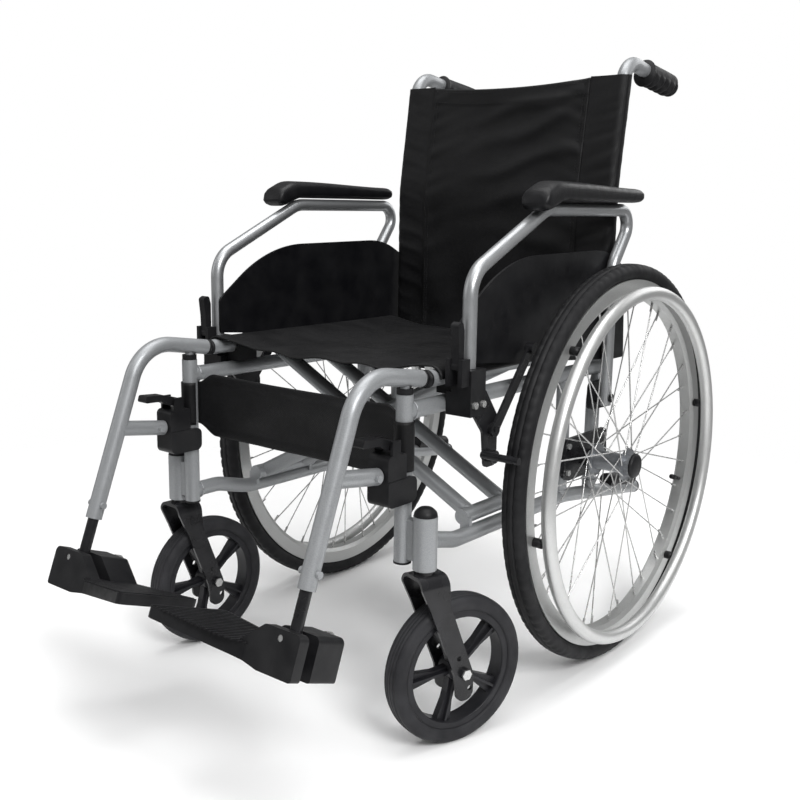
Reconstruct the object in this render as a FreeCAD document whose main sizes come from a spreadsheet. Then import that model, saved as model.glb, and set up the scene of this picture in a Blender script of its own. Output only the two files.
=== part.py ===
import FreeCAD, Part
import math
import os

import Sketcher
from FreeCAD import Placement, Rotation, Vector

# A folding manual wheelchair, in millimetres. +Z is up, the floor is Z = 0, the front is -Y,
# and +X is the user's left. The origin is on the floor, in the middle of the chair's length
# and width. Heights are above the floor, and places along the chair are given as distances
# behind the front posts.

DIMENSIONS = {
    # frame
    "post_front": -237.4,
    "frame_half": 203.0,
    "tube_radius": 11.1,
    "tube_wall": 1.5,
    "post_low": 247.0,
    "post_top": 462.0,
    "lower_rail_height": 245.0,
    "upper_rail_height": 440.0,
    "middle_post_back": 395.0,
    "rear_post_back": 491.0,
    "cane_back": 511.0,
    "cane_bend_height": 715.0,
    "handle_back": 541.0,
    "handle_height": 919.0,
    "handle_end_back": 700.0,
    "handle_end_height": 895.0,
    "tipping_end_back": 655.0,
    "tipping_end_height": 208.0,
    # rear wheels
    "axle_back": 434.9,
    "wheel_radius": 305.0,
    "wheel_half": 278.2,
    "axle_radius": 6.3,
    "rim_inner_radius": 256.0,
    "rim_half_width": 12.5,
    "tyre_half_width": 17.0,
    "handrim_radius": 263.2,
    "handrim_tube": 10.0,
    "handrim_out": 35.5,
    "spoke_radius": 1.0,
    # casters
    "swivel_half": 237.0,
    "swivel_back": 2.7,
    "caster_radius": 100.0,
    "caster_half_width": 17.0,
    "caster_trail": 48.8,
    "housing_radius": 15.5,
    "housing_low": 243.0,
    "housing_top": 312.0,
    "stem_radius": 8.0,
    "swivel_left_angle": -18.6,
    "swivel_right_angle": -3.5,
    # hangers and footrests
    "hanger_rear_back": 31.5,
    "hanger_rear_height": 477.6,
    "hanger_corner_back": -84.6,
    "hanger_corner_height": 495.0,
    "hanger_low_back": -175.1,
    "hanger_low_height": 259.1,
    "hanger_bend": 62.0,
    "hanger_lean": 20.8,
    "foot_tube_radius": 7.5,
    "foot_hinge_drop": 56.5,
    "foot_tube_drop": 70.5,
    "foot_pin_radius": 4.0,
    "plate_reach": 178.0,
    # armrests
    "arm_half": 237.0,
    "arm_tube_radius": 9.5,
    "arm_front_back": 86.4,
    "arm_rear_back": 466.0,
    "arm_height": 688.0,
    "arm_pivot_height": 398.0,
    "arm_pin_radius": 4.0,
    # cross brace
    "brace_half": 192.0,
    "brace_low": 268.0,
    "seat_rail_half": 205.0,
    "seat_rail_height": 476.0,
    "brace_first_back": 141.0,
    "brace_spacing": 85.0,
    "brace_shift": 25.0,
    "brace_pin_radius": 6.0,
    # brakes
    "brake_lever_back": 150.0,
    "brake_lever_height": 398.0,
    "brake_shoe_back": 152.0,
    "brake_shoe_height": 360.0,
    # clearance between a pin and its hole
    "running": 0.05,
}

SIDES = {"right": -1, "left": 1}

doc = FreeCAD.newDocument("wheelchair")
sheet = doc.addObject("Spreadsheet::Sheet", "Sizes")
for row, (alias, value) in enumerate(DIMENSIONS.items(), 1):
    sheet.set(f"A{row}", alias)
    sheet.set(f"B{row}", str(value))
    sheet.setAlias(f"B{row}", alias)
doc.recompute()

nodes = []


# ---------------------------------------------------------------- sizes


def number(size):
    return size.value if isinstance(size, Size) else float(size)


def words(size):
    return size.text if isinstance(size, Size) else f"({float(size)})"


class Size:
    """A length worked out from the sheet: its value, and the expression that gives it."""

    def __init__(self, value, text):
        self.value = value
        self.text = text

    def __add__(self, other):
        return Size(self.value + number(other), f"({self.text} + {words(other)})")

    def __radd__(self, other):
        return self + other

    def __sub__(self, other):
        return Size(self.value - number(other), f"({self.text} - {words(other)})")

    def __rsub__(self, other):
        return Size(number(other) - self.value, f"({words(other)} - {self.text})")

    def __mul__(self, factor):
        return Size(self.value * number(factor), f"({self.text} * {words(factor)})")

    def __rmul__(self, factor):
        return self * factor

    def __truediv__(self, factor):
        return Size(self.value / number(factor), f"({self.text} / {words(factor)})")

    def __neg__(self):
        return Size(-self.value, f"(-{self.text})")


def cell(alias):
    return Size(sheet.get(alias), f"Sizes.{alias}")


def behind(back):
    """The Y of a place that is some distance behind the front posts."""
    return cell("post_front") + back


def vector(point):
    return Vector(*[number(c) for c in point])


def bind(thing, name, size):
    if isinstance(size, Size):
        thing.setExpression(name, size.text)


def bind_place(thing, point):
    for axis, size in zip("xyz", point):
        bind(thing, f"Placement.Base.{axis}", size)


def across(side, near, far):
    """Two distances from the middle as a low and a high X on the given side."""
    return sorted((side * near, side * far), key=number)


# ---------------------------------------------------------------- shapes


def rod(name, start, end, radius):
    """A round bar between two points."""
    piece = doc.addObject("Part::Cylinder", name)
    along = vector(end) - vector(start)
    piece.Placement = Placement(vector(start), Rotation(Vector(0, 0, 1), along))
    piece.Radius = number(radius)
    piece.Height = along.Length
    bind(piece, "Radius", radius)
    bind_place(piece, start)
    return piece


def block(name, xs, ys, zs):
    """A box between two X, two Y and two Z."""
    piece = doc.addObject("Part::Box", name)
    spans = [sorted(pair, key=number) for pair in (xs, ys, zs)]
    low = [pair[0] for pair in spans]
    piece.Placement = Placement(vector(low), Rotation())
    bind_place(piece, low)
    for side_name, (start, end) in zip(("Length", "Width", "Height"), spans):
        setattr(piece, side_name, number(end) - number(start))
        if isinstance(start, Size) or isinstance(end, Size):
            piece.setExpression(side_name, f"({words(end)} - {words(start)})")
    return piece


def joined(name, *pieces):
    result = doc.addObject("Part::MultiFuse", name)
    result.Shapes = list(pieces)
    return result


def without(name, base, *tools):
    result = doc.addObject("Part::Cut", name)
    result.Base = base
    result.Tool = tools[0] if len(tools) == 1 else joined(f"{name}_holes", *tools)
    return result


def shared(name, first, second):
    result = doc.addObject("Part::Common", name)
    result.Base = first
    result.Tool = second
    return result


def group(name, *pieces):
    result = doc.addObject("Part::Compound", name)
    result.Links = list(pieces)
    return result


def rounded(points, closed):
    """Lines and arcs through corners, each (u, v) or (u, v, corner radius)."""
    corners = [Vector(number(p[0]), number(p[1]), 0) for p in points]
    radii = [p[2] if len(p) > 2 else 0 for p in points]
    count = len(corners)
    arrive, leave, arcs = list(corners), list(corners), {}
    for i, radius in enumerate(radii):
        if not radius:
            continue
        corner = corners[i]
        back = (corners[i - 1] - corner).normalize()
        ahead = (corners[(i + 1) % count] - corner).normalize()
        half = back.getAngle(ahead) / 2
        middle = (back + ahead).normalize()
        arrive[i] = corner + back * (radius / math.tan(half))
        leave[i] = corner + ahead * (radius / math.tan(half))
        arcs[i] = corner + middle * (radius / math.sin(half) - radius)
    edges = []
    for i in range(count):
        if i in arcs:
            edges.append(Part.Arc(arrive[i], arcs[i], leave[i]))
        if i + 1 < count or closed:
            ends = leave[i], arrive[(i + 1) % count]
            if (ends[0] - ends[1]).Length > 1e-6:
                edges.append(Part.LineSegment(*ends))
    return edges


def sketch_on(body, name, role, offset=0):
    """A sketch on one of the body's own planes, moved along the plane's normal."""
    sketch = body.newObject("Sketcher::SketchObject", name)
    plane = next(f for f in body.Origin.OriginFeatures if f.Role == role)
    sketch.AttachmentSupport = [(plane, "")]
    sketch.MapMode = "FlatFace"
    sketch.AttachmentOffset = Placement(Vector(0, 0, number(offset)), Rotation())
    bind(sketch, "AttachmentOffset.Base.z", offset)
    return sketch


def circle(sketch, centre, radius):
    index = sketch.addGeometry(
        Part.Circle(Vector(number(centre[0]), number(centre[1]), 0), Vector(0, 0, 1), number(radius)), False
    )
    constraint = sketch.addConstraint(Sketcher.Constraint("Radius", index, number(radius)))
    bind(sketch, f"Constraints[{constraint}]", radius)


def pin_corners(sketch, points):
    """Ties each corner of a straight-sided outline to the sheet."""
    for i, point in enumerate(points):
        sketch.addConstraint(Sketcher.Constraint("Coincident", i - 1 if i else len(points) - 1, 2, i, 1))
        for kind, size in zip(("DistanceX", "DistanceY"), point):
            constraint = sketch.addConstraint(Sketcher.Constraint(kind, -1, 1, i, 1, number(size)))
            bind(sketch, f"Constraints[{constraint}]", size)


def outline(sketch, points):
    for edge in rounded(points, True):
        sketch.addGeometry(edge, False)
    if all(len(p) == 2 for p in points):
        pin_corners(sketch, points)


def slab(name, points, low, high, role="YZ_Plane", holes=()):
    """A plate whose outline lies in one plane, between two offsets along its normal."""
    body = doc.addObject("PartDesign::Body", name)
    sketch = sketch_on(body, f"{name}_outline", role, low)
    outline(sketch, points)
    for u, v, radius in holes:
        circle(sketch, (u, v), radius)
    pad = body.newObject("PartDesign::Pad", f"{name}_pad")
    pad.Profile = sketch
    pad.Length = number(high) - number(low)
    if isinstance(low, Size) or isinstance(high, Size):
        pad.setExpression("Length", f"({words(high)} - {words(low)})")
    return body


def turned(name, points, centre, axis):
    """A ring or hub turned about an axis: corners are (radius, place along the axis)."""
    body = doc.addObject("PartDesign::Body", name)
    sketch = sketch_on(body, f"{name}_section", "XZ_Plane")
    outline(sketch, points)
    turn = body.newObject("PartDesign::Revolution", f"{name}_turn")
    turn.Profile = sketch
    turn.ReferenceAxis = (sketch, ["V_Axis"])
    turn.Angle = 360
    body.Placement = Placement(vector(centre), Rotation(Vector(0, 0, 1), axis))
    bind_place(body, centre)
    return body


def bent_tube(name, x, points, outer, inner=None):
    """A tube bent in an upright plane: corners are (Y, Z) or (Y, Z, bend radius)."""
    body = doc.addObject("PartDesign::Body", name)
    path = sketch_on(body, f"{name}_path", "YZ_Plane", x)
    for edge in rounded(points, False):
        path.addGeometry(edge, False)
    start = Vector(number(x), number(points[0][0]), number(points[0][1]))
    along = Vector(number(x), number(points[1][0]), number(points[1][1])) - start
    section = body.newObject("Sketcher::SketchObject", f"{name}_section")
    section.Placement = Placement(start, Rotation(Vector(0, 0, 1), along))
    bind(section, "Placement.Base.x", x)
    circle(section, (0, 0), outer)
    if inner is not None:
        circle(section, (0, 0), inner)
    pipe = body.newObject("PartDesign::AdditivePipe", f"{name}_pipe")
    pipe.Profile = section
    pipe.Spine = (path, [])
    return body


def node(piece, name):
    piece.Label = name
    nodes.append(piece)
    return piece


TUBE = cell("tube_radius")
BORE = TUBE - cell("tube_wall")
AXLE_Y = behind(cell("axle_back"))
WHEEL_Z = cell("wheel_radius")


# ---------------------------------------------------------------- side frames


def brace_base(side):
    """Where the hinge tube of the brace that stands on this side starts and ends."""
    start = cell("brace_first_back") - 15
    if side > 0:
        start = start + cell("brace_shift")
    return behind(start), behind(start + 115)


def side_frame(side, tag):
    """The welded frame: posts, rails, back cane with its handle, and caster housing."""
    x = side * cell("frame_half")
    front, rear = behind(0), behind(cell("rear_post_back"))
    middle = behind(cell("middle_post_back"))
    low, high = cell("lower_rail_height"), cell("upper_rail_height")
    lower_path = [
        (front, low + 17),
        (behind(50), low + 17, 60),
        (behind(112), low + 1, 60),
        (behind(405), low, 300),
        (behind(cell("tipping_end_back")), cell("tipping_end_height")),
    ]
    cane_path = [
        (rear, low - 12),
        (rear, low + 147, 60),
        (behind(cell("cane_back")), high, 60),
        (behind(cell("cane_back")), cell("cane_bend_height"), 150),
        (behind(cell("handle_back")), cell("handle_height"), 36),
        (behind(cell("handle_end_back")), cell("handle_end_height")),
    ]
    swivel = (side * cell("swivel_half"), behind(cell("swivel_back")))
    housing = (cell("housing_low"), cell("housing_top"))
    pivot_x, pivot_z = side * cell("brace_half"), cell("brace_low")
    solids = [
        rod(f"post_{tag}", (x, front, cell("post_low")), (x, front, cell("post_top")), TUBE),
        rod(f"housing_{tag}", (*swivel, housing[0]), (*swivel, housing[1]), cell("housing_radius")),
        block(f"web_{tag}", (x, swivel[0]), (front - 5, front + 8), (housing[0] + 9, housing[1] - 8)),
        bent_tube(f"lower_rail_{tag}", x, lower_path, TUBE),
        rod(f"upper_rail_{tag}", (x, front, high), (x, rear + 5, high), TUBE),
        rod(f"middle_post_{tag}", (x, middle, low), (x, middle, high), TUBE),
        bent_tube(f"cane_{tag}", x, cane_path, TUBE),
    ]
    for end, (base, inward) in enumerate(zip(brace_base(side), (-1, 1))):
        face = base + 0.3 * inward
        back = face + 6 * inward
        solids += [
            rod(f"lug_{tag}_{end}", (pivot_x, face, pivot_z), (pivot_x, back, pivot_z), TUBE),
            block(
                f"lug_foot_{tag}_{end}",
                across(side, cell("brace_half") - 2, cell("frame_half") + 3),
                (face, back),
                (low + 3, pivot_z),
            ),
            rod(
                f"lug_pin_{tag}_{end}",
                (pivot_x, back, pivot_z),
                (pivot_x, base - 14 * inward, pivot_z),
                cell("brace_pin_radius"),
            ),
        ]
    hollows = [
        rod(f"post_bore_{tag}", (x, front, cell("post_low") - 1), (x, front, high - 16), BORE),
        rod(f"pin_bore_{tag}", (x, front, high - 20), (x, front, high + 40), 6 + cell("running")),
        rod(
            f"stem_bore_{tag}",
            (*swivel, housing[0] - 1),
            (*swivel, housing[1] + 1),
            cell("stem_radius") + cell("running"),
        ),
        bent_tube(f"lower_bore_{tag}", x, [(behind(4), low + 17), *lower_path[1:]], BORE),
        rod(f"upper_bore_{tag}", (x, front + 14, high), (x, rear + 2, high), BORE),
        rod(f"middle_bore_{tag}", (x, middle, low), (x, middle, high), BORE),
        bent_tube(f"cane_bore_{tag}", x, [(rear, low - 8), *cane_path[1:]], BORE),
    ]
    frame = joined(f"side_tubes_{tag}", *solids)
    node(without(f"side_frame_{tag}", frame, *hollows), f"side_frame_{tag}")


def axle_plate(side, tag):
    """The black plate that carries the rear axle, with its boss and the fixed axle."""
    near = cell("frame_half") + TUBE + 0.3
    points = [
        (behind(374), 283, 8),
        (behind(380), 341, 8),
        (behind(508), 341, 8),
        (behind(514), 300, 8),
        (behind(500), 274, 8),
        (behind(390), 274, 8),
    ]
    plate = slab(f"axle_plate_body_{tag}", points, *across(side, near, near + 6))
    boss = rod(
        f"axle_boss_{tag}",
        (side * near, AXLE_Y, WHEEL_Z),
        (side * (near + 21), AXLE_Y, WHEEL_Z),
        14,
    )
    axle = rod(
        f"axle_rod_{tag}",
        (side * near, AXLE_Y, WHEEL_Z),
        (side * (cell("wheel_half") + 25), AXLE_Y, WHEEL_Z),
        cell("axle_radius"),
    )
    node(joined(f"axle_plate_{tag}", plate, boss, axle), f"axle_plate_{tag}")


def seat_guide(side, tag, number_of, back):
    """A block on the upper rail with a trough that the seat rail lies in."""
    x = side * cell("seat_rail_half")
    rail = cell("seat_rail_height")
    bottom = cell("upper_rail_height") + TUBE + 0.3
    room = TUBE + 0.5
    body = block(
        f"guide_{tag}_{number_of}",
        across(side, cell("seat_rail_half") - 16, cell("seat_rail_half") + 9),
        (behind(back), behind(back + 38)),
        (bottom, rail + 9),
    )
    trough = rod(f"trough_{tag}_{number_of}", (x, behind(back - 1), rail), (x, behind(back + 39), rail), room)
    mouth = block(
        f"mouth_{tag}_{number_of}",
        (x - room, x + room),
        (behind(back - 1), behind(back + 39)),
        (rail, rail + 20),
    )
    return without(f"seat_guide_{tag}_{number_of}", body, trough, mouth)


def arm_socket(side, tag):
    """The front socket: the armrest's front leg stands on it, between two low cheeks."""
    half = cell("arm_half")
    near = cell("frame_half") + TUBE + 0.3
    front = behind(cell("arm_front_back") - 16)
    back = behind(cell("arm_front_back") + 17)
    top = 487.8
    body = joined(
        f"socket_body_{tag}",
        block(f"socket_low_{tag}", across(side, near, half + 16), (front, back), (428, 458)),
        block(f"socket_high_{tag}", across(side, half - 15, half + 16), (front, back), (457, top)),
        block(f"cheek_in_{tag}", across(side, half - 13, half - 6.6), (front - 16, front + 1), (468, 503)),
        block(f"cheek_out_{tag}", across(side, half + 6.6, half + 13), (front - 16, front + 1), (468, 503)),
        rod(
            f"arm_latch_pin_{tag}",
            (side * (half - 13), front - 8, 494),
            (side * (half + 13), front - 8, 494),
            3,
        ),
    )
    return body


def arm_hinge(side, tag):
    """The rear clamp on the cane, with the pin that the armrest turns on."""
    near = cell("frame_half") + TUBE + 0.3
    half = cell("arm_half")
    pivot = (behind(cell("arm_rear_back")), cell("arm_pivot_height"))
    points = [
        (behind(448), 378, 8),
        (behind(448), 420, 8),
        (behind(514), 424, 8),
        (behind(514), 376, 8),
    ]
    radius = cell("arm_pin_radius")
    return joined(
        f"arm_hinge_{tag}",
        slab(f"arm_hinge_plate_{tag}", points, *across(side, near, near + 8)),
        rod(f"arm_hinge_boss_{tag}", (side * near, *pivot), (side * (half - 10), *pivot), 10),
        rod(f"arm_hinge_pin_{tag}", (side * near, *pivot), (side * (half + 10.5), *pivot), radius),
        rod(f"arm_hinge_head_{tag}", (side * (half + 9.9), *pivot), (side * (half + 11.6), *pivot), 7),
    )


def frame_fittings(side, tag):
    node(
        group(
            f"frame_fittings_{tag}",
            arm_socket(side, tag),
            arm_hinge(side, tag),
            seat_guide(side, tag, 1, 84),
            seat_guide(side, tag, 2, 330),
        ),
        f"frame_fittings_{tag}",
    )


def frame_caps(side, tag):
    """Plastic ends: the caster housing's dome, and the step pad on the tipping tube."""
    swivel = (side * cell("swivel_half"), behind(cell("swivel_back")))
    top = cell("housing_top") + 0.2
    dome = turned(
        f"dome_{tag}",
        [(0, 7), (0, 12), (8, 11, 6), (15, 5, 8), (15, 0), (9, 0), (9, 7)],
        (*swivel, top),
        Vector(0, 0, 1),
    )
    x = side * cell("frame_half")
    low = vector((x, behind(405), cell("lower_rail_height")))
    end = vector((x, behind(cell("tipping_end_back")), cell("tipping_end_height")))
    along = (end - low).normalize()
    lift = Vector(0, -along.z, along.y) * (number(TUBE) + 4.6)
    pad = rod(f"step_pad_body_{tag}", end - along * 106 + lift, end - along * 14 + lift, 12)
    groove = rod(f"step_pad_groove_{tag}", end - along * 120, end, TUBE + 0.2)
    node(group(f"frame_caps_{tag}", dome, without(f"step_pad_{tag}", pad, groove)), f"frame_caps_{tag}")


def side_bolts(side, tag):
    """Bolt heads on the frame: four on the axle plate, two on the rear clamp, two on the socket."""
    plate_face = side * (cell("frame_half") + TUBE + 6.5)
    clamp_face = side * (cell("frame_half") + TUBE + 8.5)
    socket_face = side * (cell("arm_half") + 16.2)
    places = [(plate_face, back, height) for back in (386, 500) for height in (288, 330)]
    places += [(clamp_face, 500, height) for height in (388, 412)]
    places += [(socket_face, back, 443) for back in (78, 96)]
    heads = []
    for i, (face, back, height) in enumerate(places):
        heads.append(
            rod(f"bolt_{tag}_{i}", (face, behind(back), height), (face + side * 4, behind(back), height), 4.5)
        )
    node(group(f"side_bolts_{tag}", *heads), f"side_bolts_{tag}")


def push_grip(side, tag):
    """The moulded hand grip over the end of the cane, ribbed below for the fingers."""
    x = side * cell("frame_half")
    start = Vector(number(x), number(behind(cell("handle_back"))), number(cell("handle_height")))
    end = Vector(number(x), number(behind(cell("handle_end_back"))), number(cell("handle_end_height")))
    along = (end - start).normalize()
    grip_end = end + along * 22
    grip_start = start + along * 68
    core = rod(f"grip_core_{tag}", grip_start, grip_end, 15.5)
    lower = joined(
        f"grip_ribs_{tag}",
        *[
            rod(
                f"grip_rib_{tag}_{i}",
                grip_start + along * (22 + 18 * i) + Vector(0, 0, -4),
                grip_start + along * (33 + 18 * i) + Vector(0, 0, -4),
                14,
            )
            for i in range(5)
        ],
    )
    bore = rod(f"grip_bore_{tag}", grip_start - along * 5, end + along * 0.5, TUBE + 0.1)
    node(without(f"push_grip_{tag}", joined(f"grip_body_{tag}", core, lower), bore), f"push_grip_{tag}")


# ---------------------------------------------------------------- rear wheels


def wheel_centre(side):
    return (side * cell("wheel_half"), AXLE_Y, WHEEL_Z)


def rear_tyre(side, tag):
    outer = cell("wheel_radius")
    half = cell("tyre_half_width")
    points = [
        (outer - 29.5, -9.5),
        (outer - 22, -9.5),
        (outer - 19, -half, 6),
        (outer, -half, 13),
        (outer, half, 13),
        (outer - 19, half, 6),
        (outer - 22, 9.5),
        (outer - 29.5, 9.5),
    ]
    tyre = turned(f"rear_tyre_{tag}", points, wheel_centre(side), Vector(side, 0, 0))
    node(tyre, f"rear_tyre_{tag}")


def rear_rim(side, tag):
    inner = cell("rim_inner_radius")
    half = cell("rim_half_width")
    points = [
        (inner, -8),
        (inner + 6, -half),
        (inner + 26, -half),
        (inner + 26, 2.5 - half),
        (inner + 7, 2.5 - half),
        (inner + 3.2, -6.5),
        (inner + 3.2, 6.5),
        (inner + 7, half - 2.5),
        (inner + 26, half - 2.5),
        (inner + 26, half),
        (inner + 6, half),
        (inner, 8),
    ]
    node(turned(f"rear_rim_{tag}", points, wheel_centre(side), Vector(side, 0, 0)), f"rear_rim_{tag}")


FLANGES = (-34, 18)
FLANGE_RADIUS = 25.5
FLANGE_HALF = 1.2


def rear_hub(side, tag):
    bore = cell("axle_radius") + cell("running")
    inner, outer = FLANGES
    points = [
        (bore, inner - 4),
        (17, inner - 4),
        (17, inner - FLANGE_HALF),
        (FLANGE_RADIUS, inner - FLANGE_HALF),
        (FLANGE_RADIUS, inner + FLANGE_HALF),
        (16, inner + FLANGE_HALF),
        (15, inner + 12),
        (15, outer - 12),
        (16, outer - FLANGE_HALF),
        (FLANGE_RADIUS, outer - FLANGE_HALF),
        (FLANGE_RADIUS, outer + FLANGE_HALF),
        (18, outer + FLANGE_HALF),
        (18, outer + 14),
        (14, outer + 17),
        (0, outer + 17),
        (0, outer + 8),
        (bore, outer + 8),
    ]
    node(turned(f"rear_hub_{tag}", points, wheel_centre(side), Vector(side, 0, 0)), f"rear_hub_{tag}")


def spokes(side, tag):
    """36 crossed spokes, from either side of both flanges to the rim."""
    centre = vector(wheel_centre(side))
    rim = number(cell("rim_inner_radius")) - 0.4
    lacing = math.radians(62)
    wires = []
    for i in range(36):
        flange = FLANGES[i % 2]
        lean = 1 if (i // 2) % 2 else -1
        end_angle = math.radians(10 * i)
        start_angle = end_angle + lean * lacing
        start = Vector(
            side * (flange + 3.1 * lean), 24 * math.cos(start_angle), 24 * math.sin(start_angle)
        )
        end = Vector(side * 0.15 * flange, rim * math.cos(end_angle), rim * math.sin(end_angle))
        wires.append(rod(f"spoke_{tag}_{i}", centre + start, centre + end, cell("spoke_radius")))
    node(group(f"spokes_{tag}", *wires), f"spokes_{tag}")


def handrim(side, tag):
    """The hand ring, and the six spacers that hold it off the rim."""
    x = side * (cell("wheel_half") + cell("handrim_out"))
    ring = doc.addObject("Part::Torus", f"ring_{tag}")
    ring.setExpression("Radius1", "Sizes.handrim_radius")
    ring.setExpression("Radius2", "Sizes.handrim_tube")
    ring.Placement = Placement(vector((x, AXLE_Y, WHEEL_Z)), Rotation(Vector(0, 0, 1), Vector(1, 0, 0)))
    bind_place(ring, (x, AXLE_Y, WHEEL_Z))
    near = side * (cell("wheel_half") + cell("rim_half_width") + 0.2)
    far = side * (cell("wheel_half") + cell("handrim_out") - 10.4)
    spacers = []
    for i in range(6):
        angle = math.radians(60 * i + 13)
        y = AXLE_Y + 265 * math.cos(angle)
        z = WHEEL_Z + 265 * math.sin(angle)
        spacers.append(rod(f"spacer_{tag}_{i}", (near, y, z), (far, y, z), 5))
    node(group(f"handrim_{tag}", ring, *spacers), f"handrim_{tag}")


# ---------------------------------------------------------------- casters


def caster_place(side):
    angle = cell("swivel_left_angle" if side > 0 else "swivel_right_angle")
    centre = vector((side * cell("swivel_half"), behind(cell("swivel_back")), 0))
    return Placement(centre, Rotation(Vector(0, 0, 1), number(angle)))


def caster_fork(side, tag):
    """A strap-steel fork with its stem, and the bolt that the caster wheel turns on."""
    width = cell("caster_half_width")
    trail, axle_z = cell("caster_trail"), cell("caster_radius")
    low = cell("housing_low")
    crown = low - 5
    profile = [
        (-19, crown + 1),
        (22, crown + 1),
        (23, crown - 12, 16),
        (25, crown - 42, 30),
        (trail + 15, axle_z - 4, 40),
        (trail + 14, axle_z - 38, 12),
        (trail - 11, axle_z - 38, 12),
        (trail - 15, axle_z - 2, 40),
        (-6, crown - 42, 40),
        (-19, crown - 14, 16),
    ]
    strap = [
        (-width - 7.5, 30),
        (-width - 7.5, crown, 15),
        (width + 7.5, crown, 15),
        (width + 7.5, 30),
        (width + 3.5, 30),
        (width + 3.5, crown - 5, 10),
        (-width - 3.5, crown - 5, 10),
        (-width - 3.5, 30),
    ]
    bolt_hole = (trail, axle_z, 4 + cell("running"))
    spare_holes = [(trail - 9, axle_z + 22, 3.5), (trail + 9, axle_z - 22, 3.5)]
    arch = shared(
        f"fork_arch_{tag}",
        slab(f"fork_profile_{tag}", profile, -width - 20, width + 20, holes=[bolt_hole, *spare_holes]),
        slab(f"fork_strap_{tag}", strap, -trail - 60, 60, role="XZ_Plane"),
    )
    fork = joined(
        f"fork_body_{tag}",
        arch,
        rod(f"race_{tag}", (0, 0, crown - 0.5), (0, 0, low - 0.3), 13),
        rod(f"stem_{tag}", (0, 0, crown - 0.5), (0, 0, cell("housing_top") + 5), cell("stem_radius")),
    )
    bolt = joined(
        f"axle_bolt_{tag}",
        rod(f"axle_shank_{tag}", (-width - 13, trail, axle_z), (width + 10, trail, axle_z), 4),
        rod(f"axle_head_{tag}", (width + 7.7, trail, axle_z), (width + 12, trail, axle_z), 7.5),
        rod(f"axle_nut_{tag}", (-width - 12, trail, axle_z), (-width - 7.7, trail, axle_z), 7),
    )
    piece = node(group(f"caster_fork_{tag}", fork, bolt), f"caster_fork_{tag}")
    piece.Placement = caster_place(side)


def caster_part(side, tag, name, piece):
    """Puts a wheel part, made about the local X axis at the origin, on the caster's axle."""
    trail = Vector(0, number(cell("caster_trail")), number(cell("caster_radius")))
    piece.Placement = caster_place(side).multiply(Placement(trail, Rotation(Vector(0, 0, 1), Vector(1, 0, 0))))
    node(piece, f"{name}_{tag}")


def caster_tyre(side, tag):
    outer = cell("caster_radius")
    half = cell("caster_half_width")
    points = [
        (outer - 19.7, -half + 2, 3),
        (outer - 8, -half, 8),
        (outer, -half + 3, 9),
        (outer, half - 3, 9),
        (outer - 8, half, 8),
        (outer - 19.7, half - 2, 3),
    ]
    caster_part(side, tag, "caster_tyre", turned(f"caster_tyre_{tag}", points, (0, 0, 0), Vector(0, 0, 1)))


def caster_wheel(side, tag):
    """The moulded wheel: a hub, a ring, and five flaring spokes."""
    ring_out = cell("caster_radius") - 20
    ring = turned(
        f"caster_ring_{tag}",
        [(ring_out - 9, -13, 2), (ring_out, -13), (ring_out, 13), (ring_out - 9, 13, 2)],
        (0, 0, 0),
        Vector(0, 0, 1),
    )
    bore = 4 + cell("running")
    hub = turned(
        f"caster_hub_{tag}",
        [(bore, -19), (11, -19), (15, -12), (15, 12), (11, 19), (bore, 19)],
        (0, 0, 0),
        Vector(0, 0, 1),
    )
    spoke_outline = [(12, -6.5), (34, -5), (ring_out - 4, -12), (ring_out - 4, 12), (34, 5), (12, 6.5)]
    ridge = [(12, -2), (ring_out - 5, -1.5), (ring_out - 5, 1.5), (12, 2)]
    arms = []
    for i in range(5):
        arm = joined(
            f"caster_arm_{tag}_{i}",
            slab(f"caster_web_{tag}_{i}", spoke_outline, -5, 5, role="XY_Plane"),
            slab(f"caster_ridge_{tag}_{i}", ridge, -10.5, 10.5, role="XY_Plane"),
        )
        arm.Placement = Placement(Vector(), Rotation(Vector(0, 0, 1), 72 * i + 57))
        arms.append(arm)
    wheel = joined(f"caster_wheel_{tag}", ring, hub, *arms)
    caster_part(side, tag, "caster_wheel", wheel)


# ---------------------------------------------------------------- hangers and footrests


def hanger_line(side, drop):
    """A point on the hanger's down tube, some distance below its lower end."""
    lean = math.radians(number(cell("hanger_lean")))
    return (
        side * cell("frame_half"),
        behind(cell("hanger_low_back") - math.sin(lean) * drop),
        cell("hanger_low_height") - math.cos(lean) * drop,
    )


def hanger(side, tag):
    """The swing-away tube, its lower stub, and the pin that stands in the front post."""
    x = side * cell("frame_half")
    path = [
        (behind(cell("hanger_rear_back")), cell("hanger_rear_height")),
        (behind(cell("hanger_corner_back")), cell("hanger_corner_height"), number(cell("hanger_bend"))),
        (behind(cell("hanger_low_back")), cell("hanger_low_height")),
    ]
    stub = (x, behind(-52.2), 367.3)
    outer = joined(
        f"hanger_tubes_{tag}",
        bent_tube(f"hanger_tube_{tag}", x, path, TUBE),
        rod(f"hanger_stub_{tag}", (x, behind(-131), 379), stub, TUBE - 0.4),
    )
    bore = bent_tube(f"hanger_bore_{tag}", x, path, BORE)
    pin = rod(f"hanger_pin_{tag}", (x, behind(0), 438), (x, behind(0), 478), 6)
    body = joined(f"hanger_body_{tag}", without(f"hanger_hollow_{tag}", outer, bore), pin)
    heads = [
        (hanger_line(side, -20), 1),
        (hanger_line(side, -20), -1),
        ((x, behind(-64), 369), 1),
        ((x, behind(-64), 369), -1),
    ]
    bolts = [
        rod(
            f"hanger_bolt_{tag}_{i}",
            (at[0] + way * (TUBE + 0.1), at[1], at[2]),
            (at[0] + way * (TUBE + 4.5), at[1], at[2]),
            4.5,
        )
        for i, (at, way) in enumerate(heads)
    ]
    node(group(f"hanger_{tag}", body, *bolts), f"hanger_{tag}")


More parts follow.
